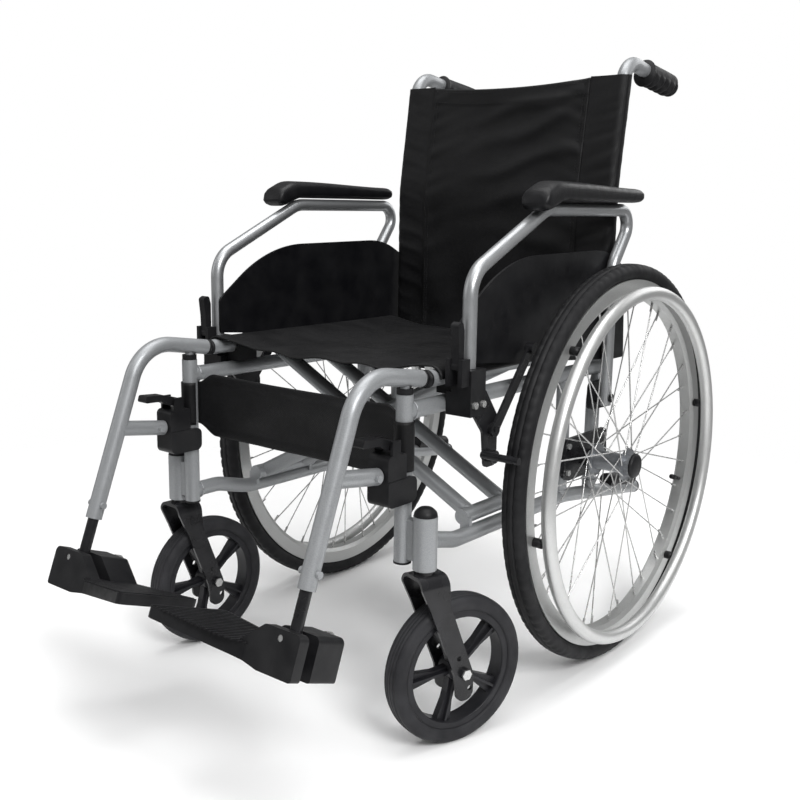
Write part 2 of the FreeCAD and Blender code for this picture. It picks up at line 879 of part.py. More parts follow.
def hanger_latch(side, tag):
    """The plastic catch block on the stub, cupping the post, and the wedge under the tube."""
    x = side * cell("frame_half")
    front = behind(-50)
    lever = (behind(-34), 404)
    high = [
        (front, 350),
        (front, 393, 7),
        (behind(-14), 393, 4),
        (behind(-14), 350),
    ]
    low = [
        (front, 328, 9),
        (front, 361, 3),
        (behind(6), 361, 9),
        (behind(6), 328, 9),
    ]
    block_body = joined(
        f"catch_body_{tag}",
        slab(f"catch_high_{tag}", high, x - 16, x + 16),
        slab(f"catch_low_{tag}", low, x - 17, x + 17),
        block(f"catch_cheek_a_{tag}", (x - 16, x - 12.5), (behind(-42), behind(-26)), (392, 411)),
        block(f"catch_cheek_b_{tag}", (x + 12.5, x + 16), (behind(-42), behind(-26)), (392, 411)),
        rod(f"catch_pin_{tag}", (x - 15, *lever), (x + 15, *lever), 3),
    )
    post_room = rod(f"catch_room_{tag}", (x, behind(0), 320), (x, behind(0), 400), TUBE + 0.4)
    wedge = without(
        f"wedge_{tag}",
        rod(f"wedge_body_{tag}", (x, behind(0), 462.4), (x, behind(0), 469.5), 10.5),
        rod(f"wedge_bore_{tag}", (x, behind(0), 460), (x, behind(0), 472), 6.1),
    )
    body = without(f"catch_{tag}", block_body, post_room)
    node(group(f"hanger_latch_{tag}", body, wedge), f"hanger_latch_{tag}")


def latch_lever(side, tag):
    """The hanger's release lever: a paddle that points forward from its barrel."""
    x = side * cell("frame_half")
    pivot = (behind(-34), 404)
    paddle = [
        (behind(-32), 399.5),
        (behind(-32), 409),
        (behind(-56), 417, 12),
        (behind(-86), 419, 3),
        (behind(-89), 409, 3),
        (behind(-60), 408, 12),
        (behind(-44), 399.5),
    ]
    body = joined(
        f"lever_body_{tag}",
        slab(f"lever_paddle_{tag}", paddle, x - 9, x + 9),
        rod(f"lever_barrel_{tag}", (x - 12, *pivot), (x + 12, *pivot), 6.5),
    )
    bore = rod(f"lever_bore_{tag}", (x - 13, *pivot), (x + 13, *pivot), 3 + cell("running"))
    node(without(f"latch_lever_{tag}", body, bore), f"latch_lever_{tag}")


def foot_frame(side):
    """The footplate's own frame: at its hinge, leaning with the hanger."""
    hinge = vector(hanger_line(side, cell("foot_hinge_drop")))
    return Placement(hinge, Rotation(Vector(1, 0, 0), -number(cell("hanger_lean"))))


def foot_tube(side, tag):
    """The footrest tube, telescoping in the hanger, drilled for the footplate's pin."""
    tube = rod(
        f"foot_tube_body_{tag}",
        hanger_line(side, -150),
        hanger_line(side, cell("foot_tube_drop")),
        cell("foot_tube_radius"),
    )
    hole = rod(f"foot_tube_hole_{tag}", (0, -20, 0), (0, 20, 0), cell("foot_pin_radius") + cell("running"))
    hole.Placement = foot_frame(side).multiply(hole.Placement)
    node(without(f"foot_tube_{tag}", tube, hole), f"foot_tube_{tag}")


def foot_pin(side, tag):
    """The hinge pin of the footplate, along the plate's outer edge, with its head behind."""
    pin = joined(
        f"foot_pin_{tag}",
        rod(f"foot_pin_shank_{tag}", (0, -23, 0), (0, 55, 0), cell("foot_pin_radius")),
        rod(f"foot_pin_head_{tag}", (0, 54.4, 0), (0, 62.4, 0), 11),
    )
    pin.Placement = foot_frame(side).multiply(pin.Placement)
    node(pin, f"foot_pin_{tag}")


def footplate(side, tag):
    """The footplate, in its own frame: x across, y rearward, z up along the foot tube."""
    reach = cell("plate_reach")

    def inward(distance):
        return -side * distance

    section = [
        (inward(12), -43),
        (inward(reach), -23),
        (inward(reach), -9),
        (inward(24), -21),
        (inward(12), -12),
    ]
    plan = [
        (inward(12), 58, 10),
        (inward(12), -15, 3),
        (inward(60), -27, 80),
        (inward(reach), -69, 8),
        (inward(reach), 64, 12),
        (inward(40), 60, 20),
    ]
    tread = shared(
        f"tread_{tag}",
        slab(f"tread_section_{tag}", section, -80, 80, role="XZ_Plane"),
        slab(f"tread_plan_{tag}", plan, -60, 20, role="XY_Plane"),
    )
    cheek = [
        (inward(-30), -43, 4),
        (inward(24), -43),
        (inward(62), -36),
        (inward(62), -19),
        (inward(26), 10, 8),
        (inward(-30), 10, 8),
    ]
    front_cheek = slab(f"front_cheek_{tag}", cheek, 8.5, 24, role="XZ_Plane")
    rear_cheek = slab(f"rear_cheek_{tag}", cheek, -54, -8.5, role="XZ_Plane")
    body = joined(f"footplate_body_{tag}", tread, front_cheek, rear_cheek)
    slot = block(f"foot_slot_{tag}", (inward(-40), inward(17)), (-8.5, 8.5), (-60, 20))
    bore = rod(f"foot_bore_{tag}", (0, -40, 0), (0, 60, 0), cell("foot_pin_radius") + cell("running"))
    piece = node(without(f"footplate_{tag}", body, slot, bore), f"footplate_{tag}")
    piece.Placement = foot_frame(side)


# ---------------------------------------------------------------- armrests


def arm_tube(side, tag):
    """The armrest's bent tube, on its rear pin and standing in the front socket."""
    x = side * cell("arm_half")
    front, rear = behind(cell("arm_front_back")), behind(cell("arm_rear_back"))
    height, pivot = cell("arm_height"), cell("arm_pivot_height")
    radius = cell("arm_tube_radius")
    path = [
        (front, 488.3),
        (front, height - 82, 45),
        (front + 175.6, height, 60),
        (rear + 66, height, 24),
        (rear, height - 86, 40),
        (rear, pivot - 12),
    ]
    tube = bent_tube(f"arm_bent_{tag}", x, path, radius, radius - 1.5)
    bore = rod(
        f"arm_bore_{tag}", (x - 20, rear, pivot), (x + 20, rear, pivot), cell("arm_pin_radius") + cell("running")
    )
    node(without(f"arm_tube_{tag}", tube, bore), f"arm_tube_{tag}")


def arm_pad(side, tag):
    """The padded rest, drooping at its front end."""
    base = cell("arm_height") + cell("arm_tube_radius") + 0.6
    points = [
        (behind(205), base - 9, 4),
        (behind(197), base - 2, 6),
        (behind(204), base + 14, 10),
        (behind(245), base + 26, 40),
        (behind(508), base + 20, 8),
        (behind(517), base + 12, 6),
        (behind(517), base + 1, 3),
        (behind(262), base, 60),
        (behind(228), base - 6, 20),
    ]
    half = cell("arm_half")
    node(slab(f"arm_pad_{tag}", points, *across(side, half - 14, half + 34)), f"arm_pad_{tag}")


def skirt_guard(side, tag):
    """The clothing guard: a thin panel on the inner side of the armrest, arched on top."""
    inner = cell("arm_half") - cell("arm_tube_radius") - 4
    points = [
        (behind(80), 493, 4),
        (behind(80), 545, 10),
        (behind(185), 624, 240),
        (behind(470), 628, 150),
        (behind(529), 598, 16),
        (behind(541), 454, 4),
        (behind(505), 454, 4),
    ]
    node(slab(f"skirt_guard_{tag}", points, *across(side, inner, inner + 3.5)), f"skirt_guard_{tag}")


def arm_latch(side, tag):
    """The armrest's front latch: an upright lever hooked over the leg's front."""
    half = cell("arm_half")
    pivot = (behind(cell("arm_front_back") - 24), 494)
    y = pivot[0]
    lever = [
        (y - 5, 489),
        (y - 6, 520, 20),
        (y - 9, 546, 4),
        (y + 1, 551, 4),
        (y + 5, 538, 10),
        (y + 5, 489),
    ]
    body = joined(
        f"arm_latch_body_{tag}",
        slab(f"arm_latch_lever_{tag}", lever, *across(side, half - 6, half + 6)),
        rod(f"arm_latch_barrel_{tag}", (side * (half - 6), *pivot), (side * (half + 6), *pivot), 6),
    )
    bore = rod(
        f"arm_latch_bore_{tag}", (side * (half - 9), *pivot), (side * (half + 9), *pivot), 3 + cell("running")
    )
    node(without(f"arm_latch_{tag}", body, bore), f"arm_latch_{tag}")


# ---------------------------------------------------------------- brakes


def brake_base(side, tag):
    """The brake's bracket: a clamp block on the upper rail, a plate, and two pivot pins."""
    near = cell("frame_half") + TUBE + 0.3
    plate_x = 228
    lever = (behind(cell("brake_lever_back")), cell("brake_lever_height"))
    shoe = (behind(cell("brake_shoe_back")), cell("brake_shoe_height"))
    points = [
        (behind(106), 426, 4),
        (behind(112), 453, 6),
        (behind(136), 453, 6),
        (behind(166), 414, 14),
        (behind(166), 346, 8),
        (behind(138), 346, 8),
        (behind(132), 396, 14),
    ]
    plate = slab(f"brake_plate_{tag}", points, *across(side, plate_x, plate_x + 4))
    clamp = block(
        f"brake_clamp_{tag}", across(side, near, plate_x + 1), (behind(109), behind(134)), (428, 452)
    )
    pins = [
        rod(f"brake_pin_{tag}_{i}", (side * plate_x, *at), (side * 242, *at), 4) for i, at in enumerate((lever, shoe))
    ]
    spacers = [
        rod(f"brake_spacer_{tag}_{i}", (side * plate_x, *at), (side * 236, *at), 8)
        for i, at in enumerate((lever, shoe))
    ]
    node(joined(f"brake_base_{tag}", plate, clamp, *pins, *spacers), f"brake_base_{tag}")


def strip(start, end, half_width):
    """The four corners of a straight bar in an upright plane."""
    along = (vector((*end, 0)) - vector((*start, 0))).normalize()
    normal = Vector(-along.y, along.x, 0) * half_width
    return [
        (start[0] + normal.x, start[1] + normal.y),
        (end[0] + normal.x, end[1] + normal.y),
        (end[0] - normal.x, end[1] - normal.y),
        (start[0] - normal.x, start[1] - normal.y),
    ]


def brake_lever(side, tag):
    """The flat hand lever with its round knob."""
    pivot = (behind(cell("brake_lever_back")), cell("brake_lever_height"))
    tip = (pivot[0] + 84, pivot[1] + 101)
    low, high = across(side, 236.4, 240.4)
    body = joined(
        f"brake_lever_body_{tag}",
        slab(f"brake_lever_bar_{tag}", strip(pivot, tip, 7.5), low, high),
        rod(f"brake_lever_eye_{tag}", (low, *pivot), (high, *pivot), 10),
        rod(f"brake_knob_{tag}", (side * 233, *tip), (side * 245, *tip), 8),
    )
    bore = rod(f"brake_lever_bore_{tag}", (side * 230, *pivot), (side * 246, *pivot), 4 + cell("running"))
    node(without(f"brake_lever_{tag}", body, bore), f"brake_lever_{tag}")


def brake_shoe(side, tag):
    """The link and the bar that presses across the tyre's front."""
    pivot = (behind(cell("brake_shoe_back")), cell("brake_shoe_height"))
    bar = (pivot[0] - 27.5, pivot[1] + 8)
    low, high = across(side, 236.4, 240.4)
    body = joined(
        f"brake_shoe_body_{tag}",
        slab(f"brake_link_{tag}", strip(pivot, bar, 6), low, high),
        rod(f"brake_shoe_eye_{tag}", (low, *pivot), (high, *pivot), 9),
        rod(f"brake_bar_{tag}", (side * 236.4, *bar), (side * 294, *bar), 5),
    )
    bore = rod(f"brake_shoe_bore_{tag}", (side * 230, *pivot), (side * 246, *pivot), 4 + cell("running"))
    node(without(f"brake_shoe_{tag}", body, bore), f"brake_shoe_{tag}")


# ---------------------------------------------------------------- cross brace


def crossing():
    """Where the two braces cross: the middle of the chair, and its height."""
    share = cell("brace_half") / (cell("brace_half") + cell("seat_rail_half"))
    rise = cell("seat_rail_height") - cell("brace_low")
    return cell("brace_low") + rise * share


def brace_tubes(side):
    """The backs of the two tubes of the brace whose foot is on the given side."""
    first = cell("brace_first_back")
    if side > 0:
        first = first + cell("brace_shift")
    return first, first + cell("brace_spacing")


def brace(side, name):
    """One brace: its hinge tube, two diagonal tubes, and the seat rail on the other side."""
    foot_x, foot_z = side * cell("brace_half"), cell("brace_low")
    rail_x, rail_z = -side * cell("seat_rail_half"), cell("seat_rail_height")
    base = brace_base(side)
    rail = (behind(42), behind(470))
    tubes = [
        rod(f"{name}_hinge_tube", (foot_x, base[0], foot_z), (foot_x, base[1], foot_z), TUBE),
        rod(f"{name}_seat_rail", (rail_x, rail[0], rail_z), (rail_x, rail[1], rail_z), TUBE),
    ]
    hollows = [
        rod(
            f"{name}_hinge_bore",
            (foot_x, base[0] - 1, foot_z),
            (foot_x, base[1] + 1, foot_z),
            cell("brace_pin_radius") + cell("running"),
        ),
        rod(f"{name}_rail_bore", (rail_x, rail[0] - 1, rail_z), (rail_x, rail[1] + 1, rail_z), BORE),
    ]
    span = Vector(number(rail_x - foot_x), 0, number(rail_z - foot_z))
    for i, back in enumerate(brace_tubes(side)):
        y = behind(back)
        inset = span * (13 / span.Length)
        tubes.append(rod(f"{name}_diagonal_{i}", (foot_x, y, foot_z), (rail_x, y, rail_z), TUBE))
        hollows.append(
            rod(
                f"{name}_diagonal_bore_{i}",
                (foot_x + inset.x, y, foot_z + inset.z),
                (rail_x, y, rail_z),
                BORE,
            )
        )
        hollows.append(
            rod(f"{name}_bolt_hole_{i}", (0, y - 15, crossing()), (0, y + 15, crossing()), 4 + cell("running"))
        )
    node(without(name, joined(f"{name}_tubes", *tubes), *hollows), name)


def brace_bolts():
    """The two bolts that the braces scissor on."""
    bolts = []
    for i in range(2):
        start = behind(brace_tubes(-1)[i] - 11.4)
        end = behind(brace_tubes(1)[i] + 11.4)
        shank = rod(f"brace_bolt_shank_{i}", (0, start, crossing()), (0, end, crossing()), 4)
        head = rod(f"brace_bolt_head_{i}", (0, start - 4.5, crossing()), (0, start, crossing()), 8)
        nut = rod(f"brace_bolt_nut_{i}", (0, end, crossing()), (0, end + 5.5, crossing()), 7)
        bolts.append(joined(f"brace_bolt_{i}", shank, head, nut))
    node(group("brace_bolts", *bolts), "brace_bolts")


# ---------------------------------------------------------------- upholstery


def seat_sling():
    """The seat: a sheet that lies over both seat rails and sags a little between them."""
    rail, height = cell("seat_rail_half"), cell("seat_rail_height")
    lift = TUBE + 0.4
    section = [
        (-rail - 12, height + 4),
        (-rail - 12, height + lift + 3, 6),
        (-rail + 14, height + lift + 3, 30),
        (-rail + 75, height + lift - 8, 90),
        (rail - 75, height + lift - 8, 90),
        (rail - 14, height + lift + 3, 30),
        (rail + 12, height + lift + 3, 6),
        (rail + 12, height + 4),
        (rail + 11.6, height + 4),
        (rail + 11.6, height + lift, 3),
        (rail - 14, height + lift, 30),
        (rail - 75, height + lift - 11, 90),
        (-rail + 75, height + lift - 11, 90),
        (-rail + 14, height + lift, 30),
        (-rail - 11.6, height + lift, 3),
        (-rail - 11.6, height + 4),
    ]
    node(slab("seat_sling", section, -behind(468), -behind(52), role="XZ_Plane"), "seat_sling")


def back_sling():
    """The back: a sleeve on each cane, and the panel between them."""
    half = cell("frame_half")
    room, skin = TUBE + 0.4, 1.6
    bottom = (behind(cell("cane_back")), 455)
    bend = (behind(cell("cane_back")), cell("cane_bend_height"), 150)
    top = (behind(cell("cane_back") + 24.7), 883)
    sleeves = [
        bent_tube(f"back_sleeve_{tag}", side * half, [bottom, bend, top], room + skin, room)
        for tag, side in SIDES.items()
    ]
    face = -room.value - skin + 0.4
    back_face = face + 3
    panel = [
        (bottom[0] + face, bottom[1]),
        (bend[0] + face, bend[1], 150),
        (top[0] + face, top[1] - 4),
        (top[0] + back_face, top[1] - 4),
        (bend[0] + back_face, bend[1], 150),
        (bottom[0] + back_face, bottom[1]),
    ]
    sheet_body = slab("back_panel", panel, -half, half)
    posts = [
        bent_tube(f"back_room_{tag}", side * half, [bottom, bend, top], room) for tag, side in SIDES.items()
    ]
    node(without("back_sling", joined("back_cloth", *sleeves, sheet_body), *posts), "back_sling")


def calf_strap():
    """The leg strap: a band between the front posts, looped round each of them."""
    half = cell("frame_half")
    low, high = 366, 428
    room, skin = TUBE + 0.4, 1.6
    loops = [
        rod(f"strap_loop_{tag}", (side * half, behind(0), low), (side * half, behind(0), high), room + skin)
        for tag, side in SIDES.items()
    ]
    band = block("strap_band", (-half, half), (behind(10), behind(13)), (low, high))
    middle = block("strap_middle", (-half + 16, half - 16), (behind(10), behind(13)), (low - 11, high + 18))
    rooms = [
        rod(f"strap_room_{tag}", (side * half, behind(0), low - 1), (side * half, behind(0), high + 1), room)
        for tag, side in SIDES.items()
    ]
    node(without("calf_strap", joined("strap_cloth", *loops, band, middle), *rooms), "calf_strap")


# ---------------------------------------------------------------- the chair

SIDED_PARTS = (
    side_frame,
    axle_plate,
    frame_fittings,
    frame_caps,
    side_bolts,
    push_grip,
    brake_base,
    brake_lever,
    brake_shoe,
    rear_tyre,
    rear_rim,
    spokes,
    rear_hub,
    handrim,
    caster_fork,
    caster_tyre,
    caster_wheel,
    hanger,
    hanger_latch,
    latch_lever,
    foot_tube,
    foot_pin,
    footplate,
    arm_tube,
    arm_pad,
    skirt_guard,
    arm_latch,
)

for side_name, side_sign in SIDES.items():
    for make_part in SIDED_PARTS:
        make_part(side_sign, side_name)
brace(-1, "brace_a")
brace(1, "brace_b")
brace_bolts()
seat_sling()
back_sling()
calf_strap()
doc.recompute()

for thing in doc.Objects:
    if "Invalid" in thing.State or "Error" in thing.State:
        raise RuntimeError(f"{thing.Label} failed: {thing.State}")
for piece in nodes:
    if piece.Shape.isNull() or not piece.Shape.isValid():
        raise RuntimeError(f"{piece.Label} has no valid shape")

os.makedirs("parts", exist_ok=True)
for piece in nodes:
    piece.Shape.exportStep(f"parts/{piece.Label}.step")
print(f"{len(nodes)} nodes")
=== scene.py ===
import math
import random

import bmesh
import bpy
from mathutils import Matrix, Vector


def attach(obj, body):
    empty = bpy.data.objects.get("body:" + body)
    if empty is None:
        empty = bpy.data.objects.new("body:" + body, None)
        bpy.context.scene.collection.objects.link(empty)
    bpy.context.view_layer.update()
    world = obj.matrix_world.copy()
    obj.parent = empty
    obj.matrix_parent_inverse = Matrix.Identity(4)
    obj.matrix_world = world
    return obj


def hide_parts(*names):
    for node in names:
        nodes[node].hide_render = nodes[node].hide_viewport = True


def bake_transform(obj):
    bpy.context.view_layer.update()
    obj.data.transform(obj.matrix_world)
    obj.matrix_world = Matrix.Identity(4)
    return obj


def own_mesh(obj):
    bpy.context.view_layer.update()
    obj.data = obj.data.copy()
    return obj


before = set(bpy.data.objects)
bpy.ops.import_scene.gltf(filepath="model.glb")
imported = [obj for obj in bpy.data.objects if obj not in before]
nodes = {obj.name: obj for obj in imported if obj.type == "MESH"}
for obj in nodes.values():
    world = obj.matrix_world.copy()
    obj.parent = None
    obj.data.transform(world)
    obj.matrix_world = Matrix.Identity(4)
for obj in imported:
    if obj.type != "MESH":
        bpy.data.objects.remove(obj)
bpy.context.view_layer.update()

# Sizes of the frame, in metres. X is outward from the middle on each side.
SIDES = {"right": -1, "left": 1}
POST_Y = -0.2374
TUBE = 0.0111
FRAME_X = 0.203
WHEEL = Vector((0.2782, 0.1975, 0.305))
CASTER_X = 0.237
CANE_Y = 0.2736
BEND_Z = 0.715
BEND_RADIUS = 0.150
LEAN = 30 / 204
FOOT_TILT = math.radians(20.8)
RAIL_X, RAIL_Z = 0.205, 0.476
ARM_X = 0.247


def behind(back):
    """The Y, in metres, of a place that many millimetres behind the front posts."""
    return POST_Y + back / 1000


def ease(t):
    """A smooth step from 0 to 1."""
    t = min(max(t, 0.0), 1.0)
    return t * t * (3 - 2 * t)


def ripple(x, y, seed, octaves=3):
    """A smooth pseudo-random wave, about -1 to 1."""
    draw = random.Random(seed)
    total = 0.0
    weight = 0.0
    for octave in range(octaves):
        share = 0.6**octave
        grow = 1.7**octave
        for _ in range(3):
            turn = draw.uniform(0, math.tau)
            shift = draw.uniform(0, math.tau)
            total += share * math.sin(grow * (x * math.cos(turn) + y * math.sin(turn)) + shift)
            weight += share
    return total / weight * 1.6


# ---------------------------------------------------------------- materials


class Finish:
    """A node-based material that takes its pattern from the object's own coordinates."""

    def __init__(self, name, colour, roughness, metallic=0.0, **sockets):
        self.material = bpy.data.materials.new(name)
        self.material.use_nodes = True
        self.tree = self.material.node_tree
        self.shader = self.tree.nodes["Principled BSDF"]
        self.where = self.tree.nodes.new("ShaderNodeTexCoord").outputs["Object"]
        self.shader.inputs["Base Color"].default_value = (*colour, 1)
        self.shader.inputs["Roughness"].default_value = roughness
        self.shader.inputs["Metallic"].default_value = metallic
        for socket, value in sockets.items():
            self.shader.inputs[socket.replace("_", " ")].default_value = value
        self.height = None

    def noise(self, scale, detail=3.0, stretch=(1, 1, 1)):
        mapping = self.tree.nodes.new("ShaderNodeMapping")
        mapping.inputs["Scale"].default_value = stretch
        self.tree.links.new(self.where, mapping.inputs["Vector"])
        node = self.tree.nodes.new("ShaderNodeTexNoise")
        node.inputs["Scale"].default_value = scale
        node.inputs["Detail"].default_value = detail
        self.tree.links.new(mapping.outputs["Vector"], node.inputs["Vector"])
        return node.outputs["Fac"]

    def cells(self, scale):
        node = self.tree.nodes.new("ShaderNodeTexVoronoi")
        node.inputs["Scale"].default_value = scale
        self.tree.links.new(self.where, node.inputs["Vector"])
        return node.outputs["Distance"]

    def bands(self, scale, axis):
        node = self.tree.nodes.new("ShaderNodeTexWave")
        node.bands_direction = axis
        node.inputs["Scale"].default_value = scale
        node.inputs["Distortion"].default_value = 0.6
        node.inputs["Detail Scale"].default_value = 2.0
        self.tree.links.new(self.where, node.inputs["Vector"])
        return node.outputs["Fac"]

    def combine(self, operation, first, second):
        node = self.tree.nodes.new("ShaderNodeMath")
        node.operation = operation
        self.tree.links.new(first, node.inputs[0])
        self.tree.links.new(second, node.inputs[1])
        return node.outputs["Value"]

    def ramp(self, value, low, high, start=0.3, end=0.7):
        node = self.tree.nodes.new("ShaderNodeValToRGB")
        node.color_ramp.elements[0].position = start
        node.color_ramp.elements[1].position = end
        node.color_ramp.elements[0].color = (*low, 1)
        node.color_ramp.elements[1].color = (*high, 1)
        self.tree.links.new(value, node.inputs["Fac"])
        return node.outputs["Color"]

    def tint(self, value, low, high, start=0.3, end=0.7):
        self.tree.links.new(self.ramp(value, low, high, start, end), self.shader.inputs["Base Color"])
        return self

    def polish(self, value, low, high):
        node = self.tree.nodes.new("ShaderNodeMapRange")
        node.inputs["From Min"].default_value = 0.3
        node.inputs["From Max"].default_value = 0.7
        node.inputs["To Min"].default_value = low
        node.inputs["To Max"].default_value = high
        self.tree.links.new(value, node.inputs["Value"])
        self.tree.links.new(node.outputs["Result"], self.shader.inputs["Roughness"])
        return self

    def relief(self, value, depth, strength=1.0):
        node = self.tree.nodes.new("ShaderNodeBump")
        node.inputs["Strength"].default_value = strength
        node.inputs["Distance"].default_value = depth
        self.tree.links.new(value, node.inputs["Height"])
        if self.height is not None:
            self.tree.links.new(self.height, node.inputs["Normal"])
        self.height = node.outputs["Normal"]
        self.tree.links.new(self.height, self.shader.inputs["Normal"])
        return self


def powder_coat():
    finish = Finish("powder_coat", (0.42, 0.43, 0.45), 0.42, 0.45)
    finish.tint(finish.noise(900, 2), (0.29, 0.30, 0.31), (0.37, 0.38, 0.39))
    finish.polish(finish.noise(45, 4), 0.36, 0.48)
    return finish.relief(finish.noise(650, 2), 0.00006, 0.6)


def drawn_alloy(name, low, high, roughness):
    finish = Finish(name, high, roughness, 0.8)
    finish.tint(finish.noise(700, 3), low, high)
    finish.polish(finish.noise(60, 5), roughness - 0.03, roughness + 0.06)
    return finish.relief(finish.noise(1500, 2), 0.00001, 0.3)


def black_paint():
    finish = Finish("black_paint", (0.012, 0.012, 0.013), 0.24, Coat_Weight=0.12, Coat_Roughness=0.10,
                    Specular_IOR_Level=0.25)
    finish.tint(finish.noise(35, 4), (0.008, 0.008, 0.009), (0.020, 0.020, 0.022))
    finish.polish(finish.noise(25, 5), 0.20, 0.34)
    return finish.relief(finish.noise(420, 2), 0.00008, 0.5)


def moulded_plastic(name, low, high, roughness, grain=0.00012):
    finish = Finish(name, high, roughness, Specular_IOR_Level=0.22)
    finish.tint(finish.noise(30, 5), low, high)
    finish.polish(finish.noise(80, 4), roughness - 0.06, roughness + 0.08)
    return finish.relief(finish.cells(900), grain, 0.5)


def tyre_rubber(name, low, high):
    finish = Finish(name, high, 0.62, Specular_IOR_Level=0.2)
    finish.tint(finish.noise(28, 6), low, high)
    finish.polish(finish.noise(60, 5), 0.52, 0.74)
    return finish.relief(finish.noise(800, 3), 0.0001, 0.6)


def nylon():
    finish = Finish("black_nylon", (0.02, 0.02, 0.022), 0.62, Sheen_Weight=0.02, Sheen_Roughness=0.4,
                    Specular_IOR_Level=0.26)
    threads = finish.combine("MULTIPLY", finish.bands(190, "X"), finish.bands(190, "DIAGONAL"))
    finish.tint(finish.combine("MULTIPLY", finish.noise(14, 5), finish.noise(260, 2)),
                (0.0020, 0.0020, 0.0024), (0.0060, 0.0060, 0.0068), 0.1, 0.45)
    finish.polish(finish.noise(22, 4), 0.42, 0.62)
    finish.relief(threads, 0.00022, 0.8)
    return finish.relief(finish.noise(38, 4), 0.0012, 0.35)


def webbing():
    finish = Finish("black_webbing", (0.014, 0.014, 0.016), 0.7, Sheen_Weight=0.05, Sheen_Roughness=0.5,
                    Specular_IOR_Level=0.25)
    finish.tint(finish.noise(120, 3), (0.004, 0.004, 0.005), (0.014, 0.014, 0.015))
    finish.polish(finish.noise(60, 3), 0.6, 0.8)
    return finish.relief(finish.bands(260, "DIAGONAL"), 0.0003, 0.9)


def pad_skin():
    finish = Finish("pad_skin", (0.02, 0.02, 0.022), 0.42, Specular_IOR_Level=0.28)
    finish.tint(finish.noise(24, 5), (0.003, 0.003, 0.004), (0.009, 0.009, 0.010))
    finish.polish(finish.noise(70, 4), 0.34, 0.5)
    finish.relief(finish.cells(420), 0.00025, 0.55)
    return finish.relief(finish.noise(60, 3), 0.0004, 0.3)


MATERIALS = {
    "frame": powder_coat(),
    "arm_alloy": drawn_alloy("arm_alloy", (0.40, 0.41, 0.42), (0.47, 0.48, 0.49), 0.36),
    "handrim_alloy": drawn_alloy("handrim_alloy", (0.56, 0.565, 0.56), (0.64, 0.645, 0.64), 0.38),
    "rim_alloy": drawn_alloy("rim_alloy", (0.44, 0.445, 0.44), (0.52, 0.525, 0.52), 0.40),
    "zinc": drawn_alloy("zinc_steel", (0.48, 0.48, 0.48), (0.62, 0.62, 0.61), 0.26),
    "hub_alloy": drawn_alloy("hub_alloy", (0.20, 0.21, 0.22), (0.34, 0.35, 0.37), 0.32),
    "black_paint": black_paint(),
    "black_plastic": moulded_plastic(
        "black_plastic", (0.006, 0.006, 0.007), (0.015, 0.015, 0.016), 0.42
    ),
    "guard_plastic": moulded_plastic(
        "guard_plastic", (0.004, 0.004, 0.005), (0.010, 0.010, 0.011), 0.36, 0.00006
    ),
    "wheel_plastic": moulded_plastic(
        "wheel_plastic", (0.010, 0.010, 0.012), (0.022, 0.022, 0.025), 0.34
    ),
    "tyre": tyre_rubber("tyre_rubber", (0.008, 0.008, 0.009), (0.018, 0.018, 0.019)),
    "caster_rubber": tyre_rubber("caster_rubber", (0.016, 0.016, 0.018), (0.032, 0.032, 0.035)),
    "grip": moulded_plastic("grip_rubber", (0.006, 0.006, 0.007), (0.015, 0.015, 0.016), 0.5, 0.0002),
    "nylon": nylon(),
    "webbing": webbing(),
    "pad_skin": pad_skin(),
}

NODE_FINISH = {
    "side_frame": "frame",
    "axle_plate": "black_paint",
    "frame_fittings": "black_plastic",
    "frame_caps": "black_plastic",
    "side_bolts": "zinc",
    "push_grip": "grip",
    "brake_base": "black_paint",
    "brake_lever": "black_paint",
    "brake_shoe": "black_paint",
    "rear_tyre": "tyre",
    "rear_rim": "rim_alloy",
    "spokes": "zinc",
    "rear_hub": "hub_alloy",
    "handrim": "handrim_alloy",
    "caster_fork": "black_paint",
    "caster_tyre": "caster_rubber",
    "caster_wheel": "wheel_plastic",
    "hanger": "frame",
    "hanger_latch": "black_plastic",
    "latch_lever": "black_plastic",
    "foot_tube": "black_paint",
    "foot_pin": "zinc",
    "footplate": "black_plastic",
    "arm_tube": "arm_alloy",
    "arm_pad": "pad_skin",
    "skirt_guard": "guard_plastic",
    "arm_latch": "black_plastic",
    "brace_a": "frame",
    "brace_b": "frame",
    "brace_bolts": "zinc",
    "seat_sling": "nylon",
    "back_sling": "nylon",
    "calf_strap": "nylon",
}

for node_name, node_object in nodes.items():
    kind = node_name
    for tag in SIDES:
        kind = kind.removesuffix(f"_{tag}")
    for material_slot in node_object.material_slots:
        material_slot.material = MATERIALS[NODE_FINISH[kind]].material


# ---------------------------------------------------------------- mesh helpers


def piece(name, points, faces, finish, matrix=None, smooth=True):
    """An object made from points and faces, merged, facing outward and in its finish."""
    mesh = bpy.data.meshes.new(name)
    mesh.from_pydata([tuple(p) for p in points], [], faces)
    work = bmesh.new()
    work.from_mesh(mesh)
    bmesh.ops.remove_doubles(work, verts=work.verts, dist=1e-6)
    bmesh.ops.recalc_face_normals(work, faces=work.faces)
    work.to_mesh(mesh)
    work.free()
    for polygon in mesh.polygons:
        polygon.use_smooth = smooth
    mesh.materials.append(MATERIALS[finish].material)
    made = bpy.data.objects.new(name, mesh)
    bpy.context.scene.collection.objects.link(made)
    if matrix is not None:
        mesh.transform(matrix)
    return made


def thicken(made, thickness):
    """Gives a sheet its thickness, half to each side."""
    modifier = made.modifiers.new("Solidify", "SOLIDIFY")
    modifier.thickness = thickness
    modifier.offset = 0.0
    bpy.context.view_layer.update()
    solid = made.evaluated_get(bpy.context.evaluated_depsgraph_get())
    result = bpy.data.meshes.new_from_object(solid)
    made.modifiers.clear()
    made.data = result
    return made


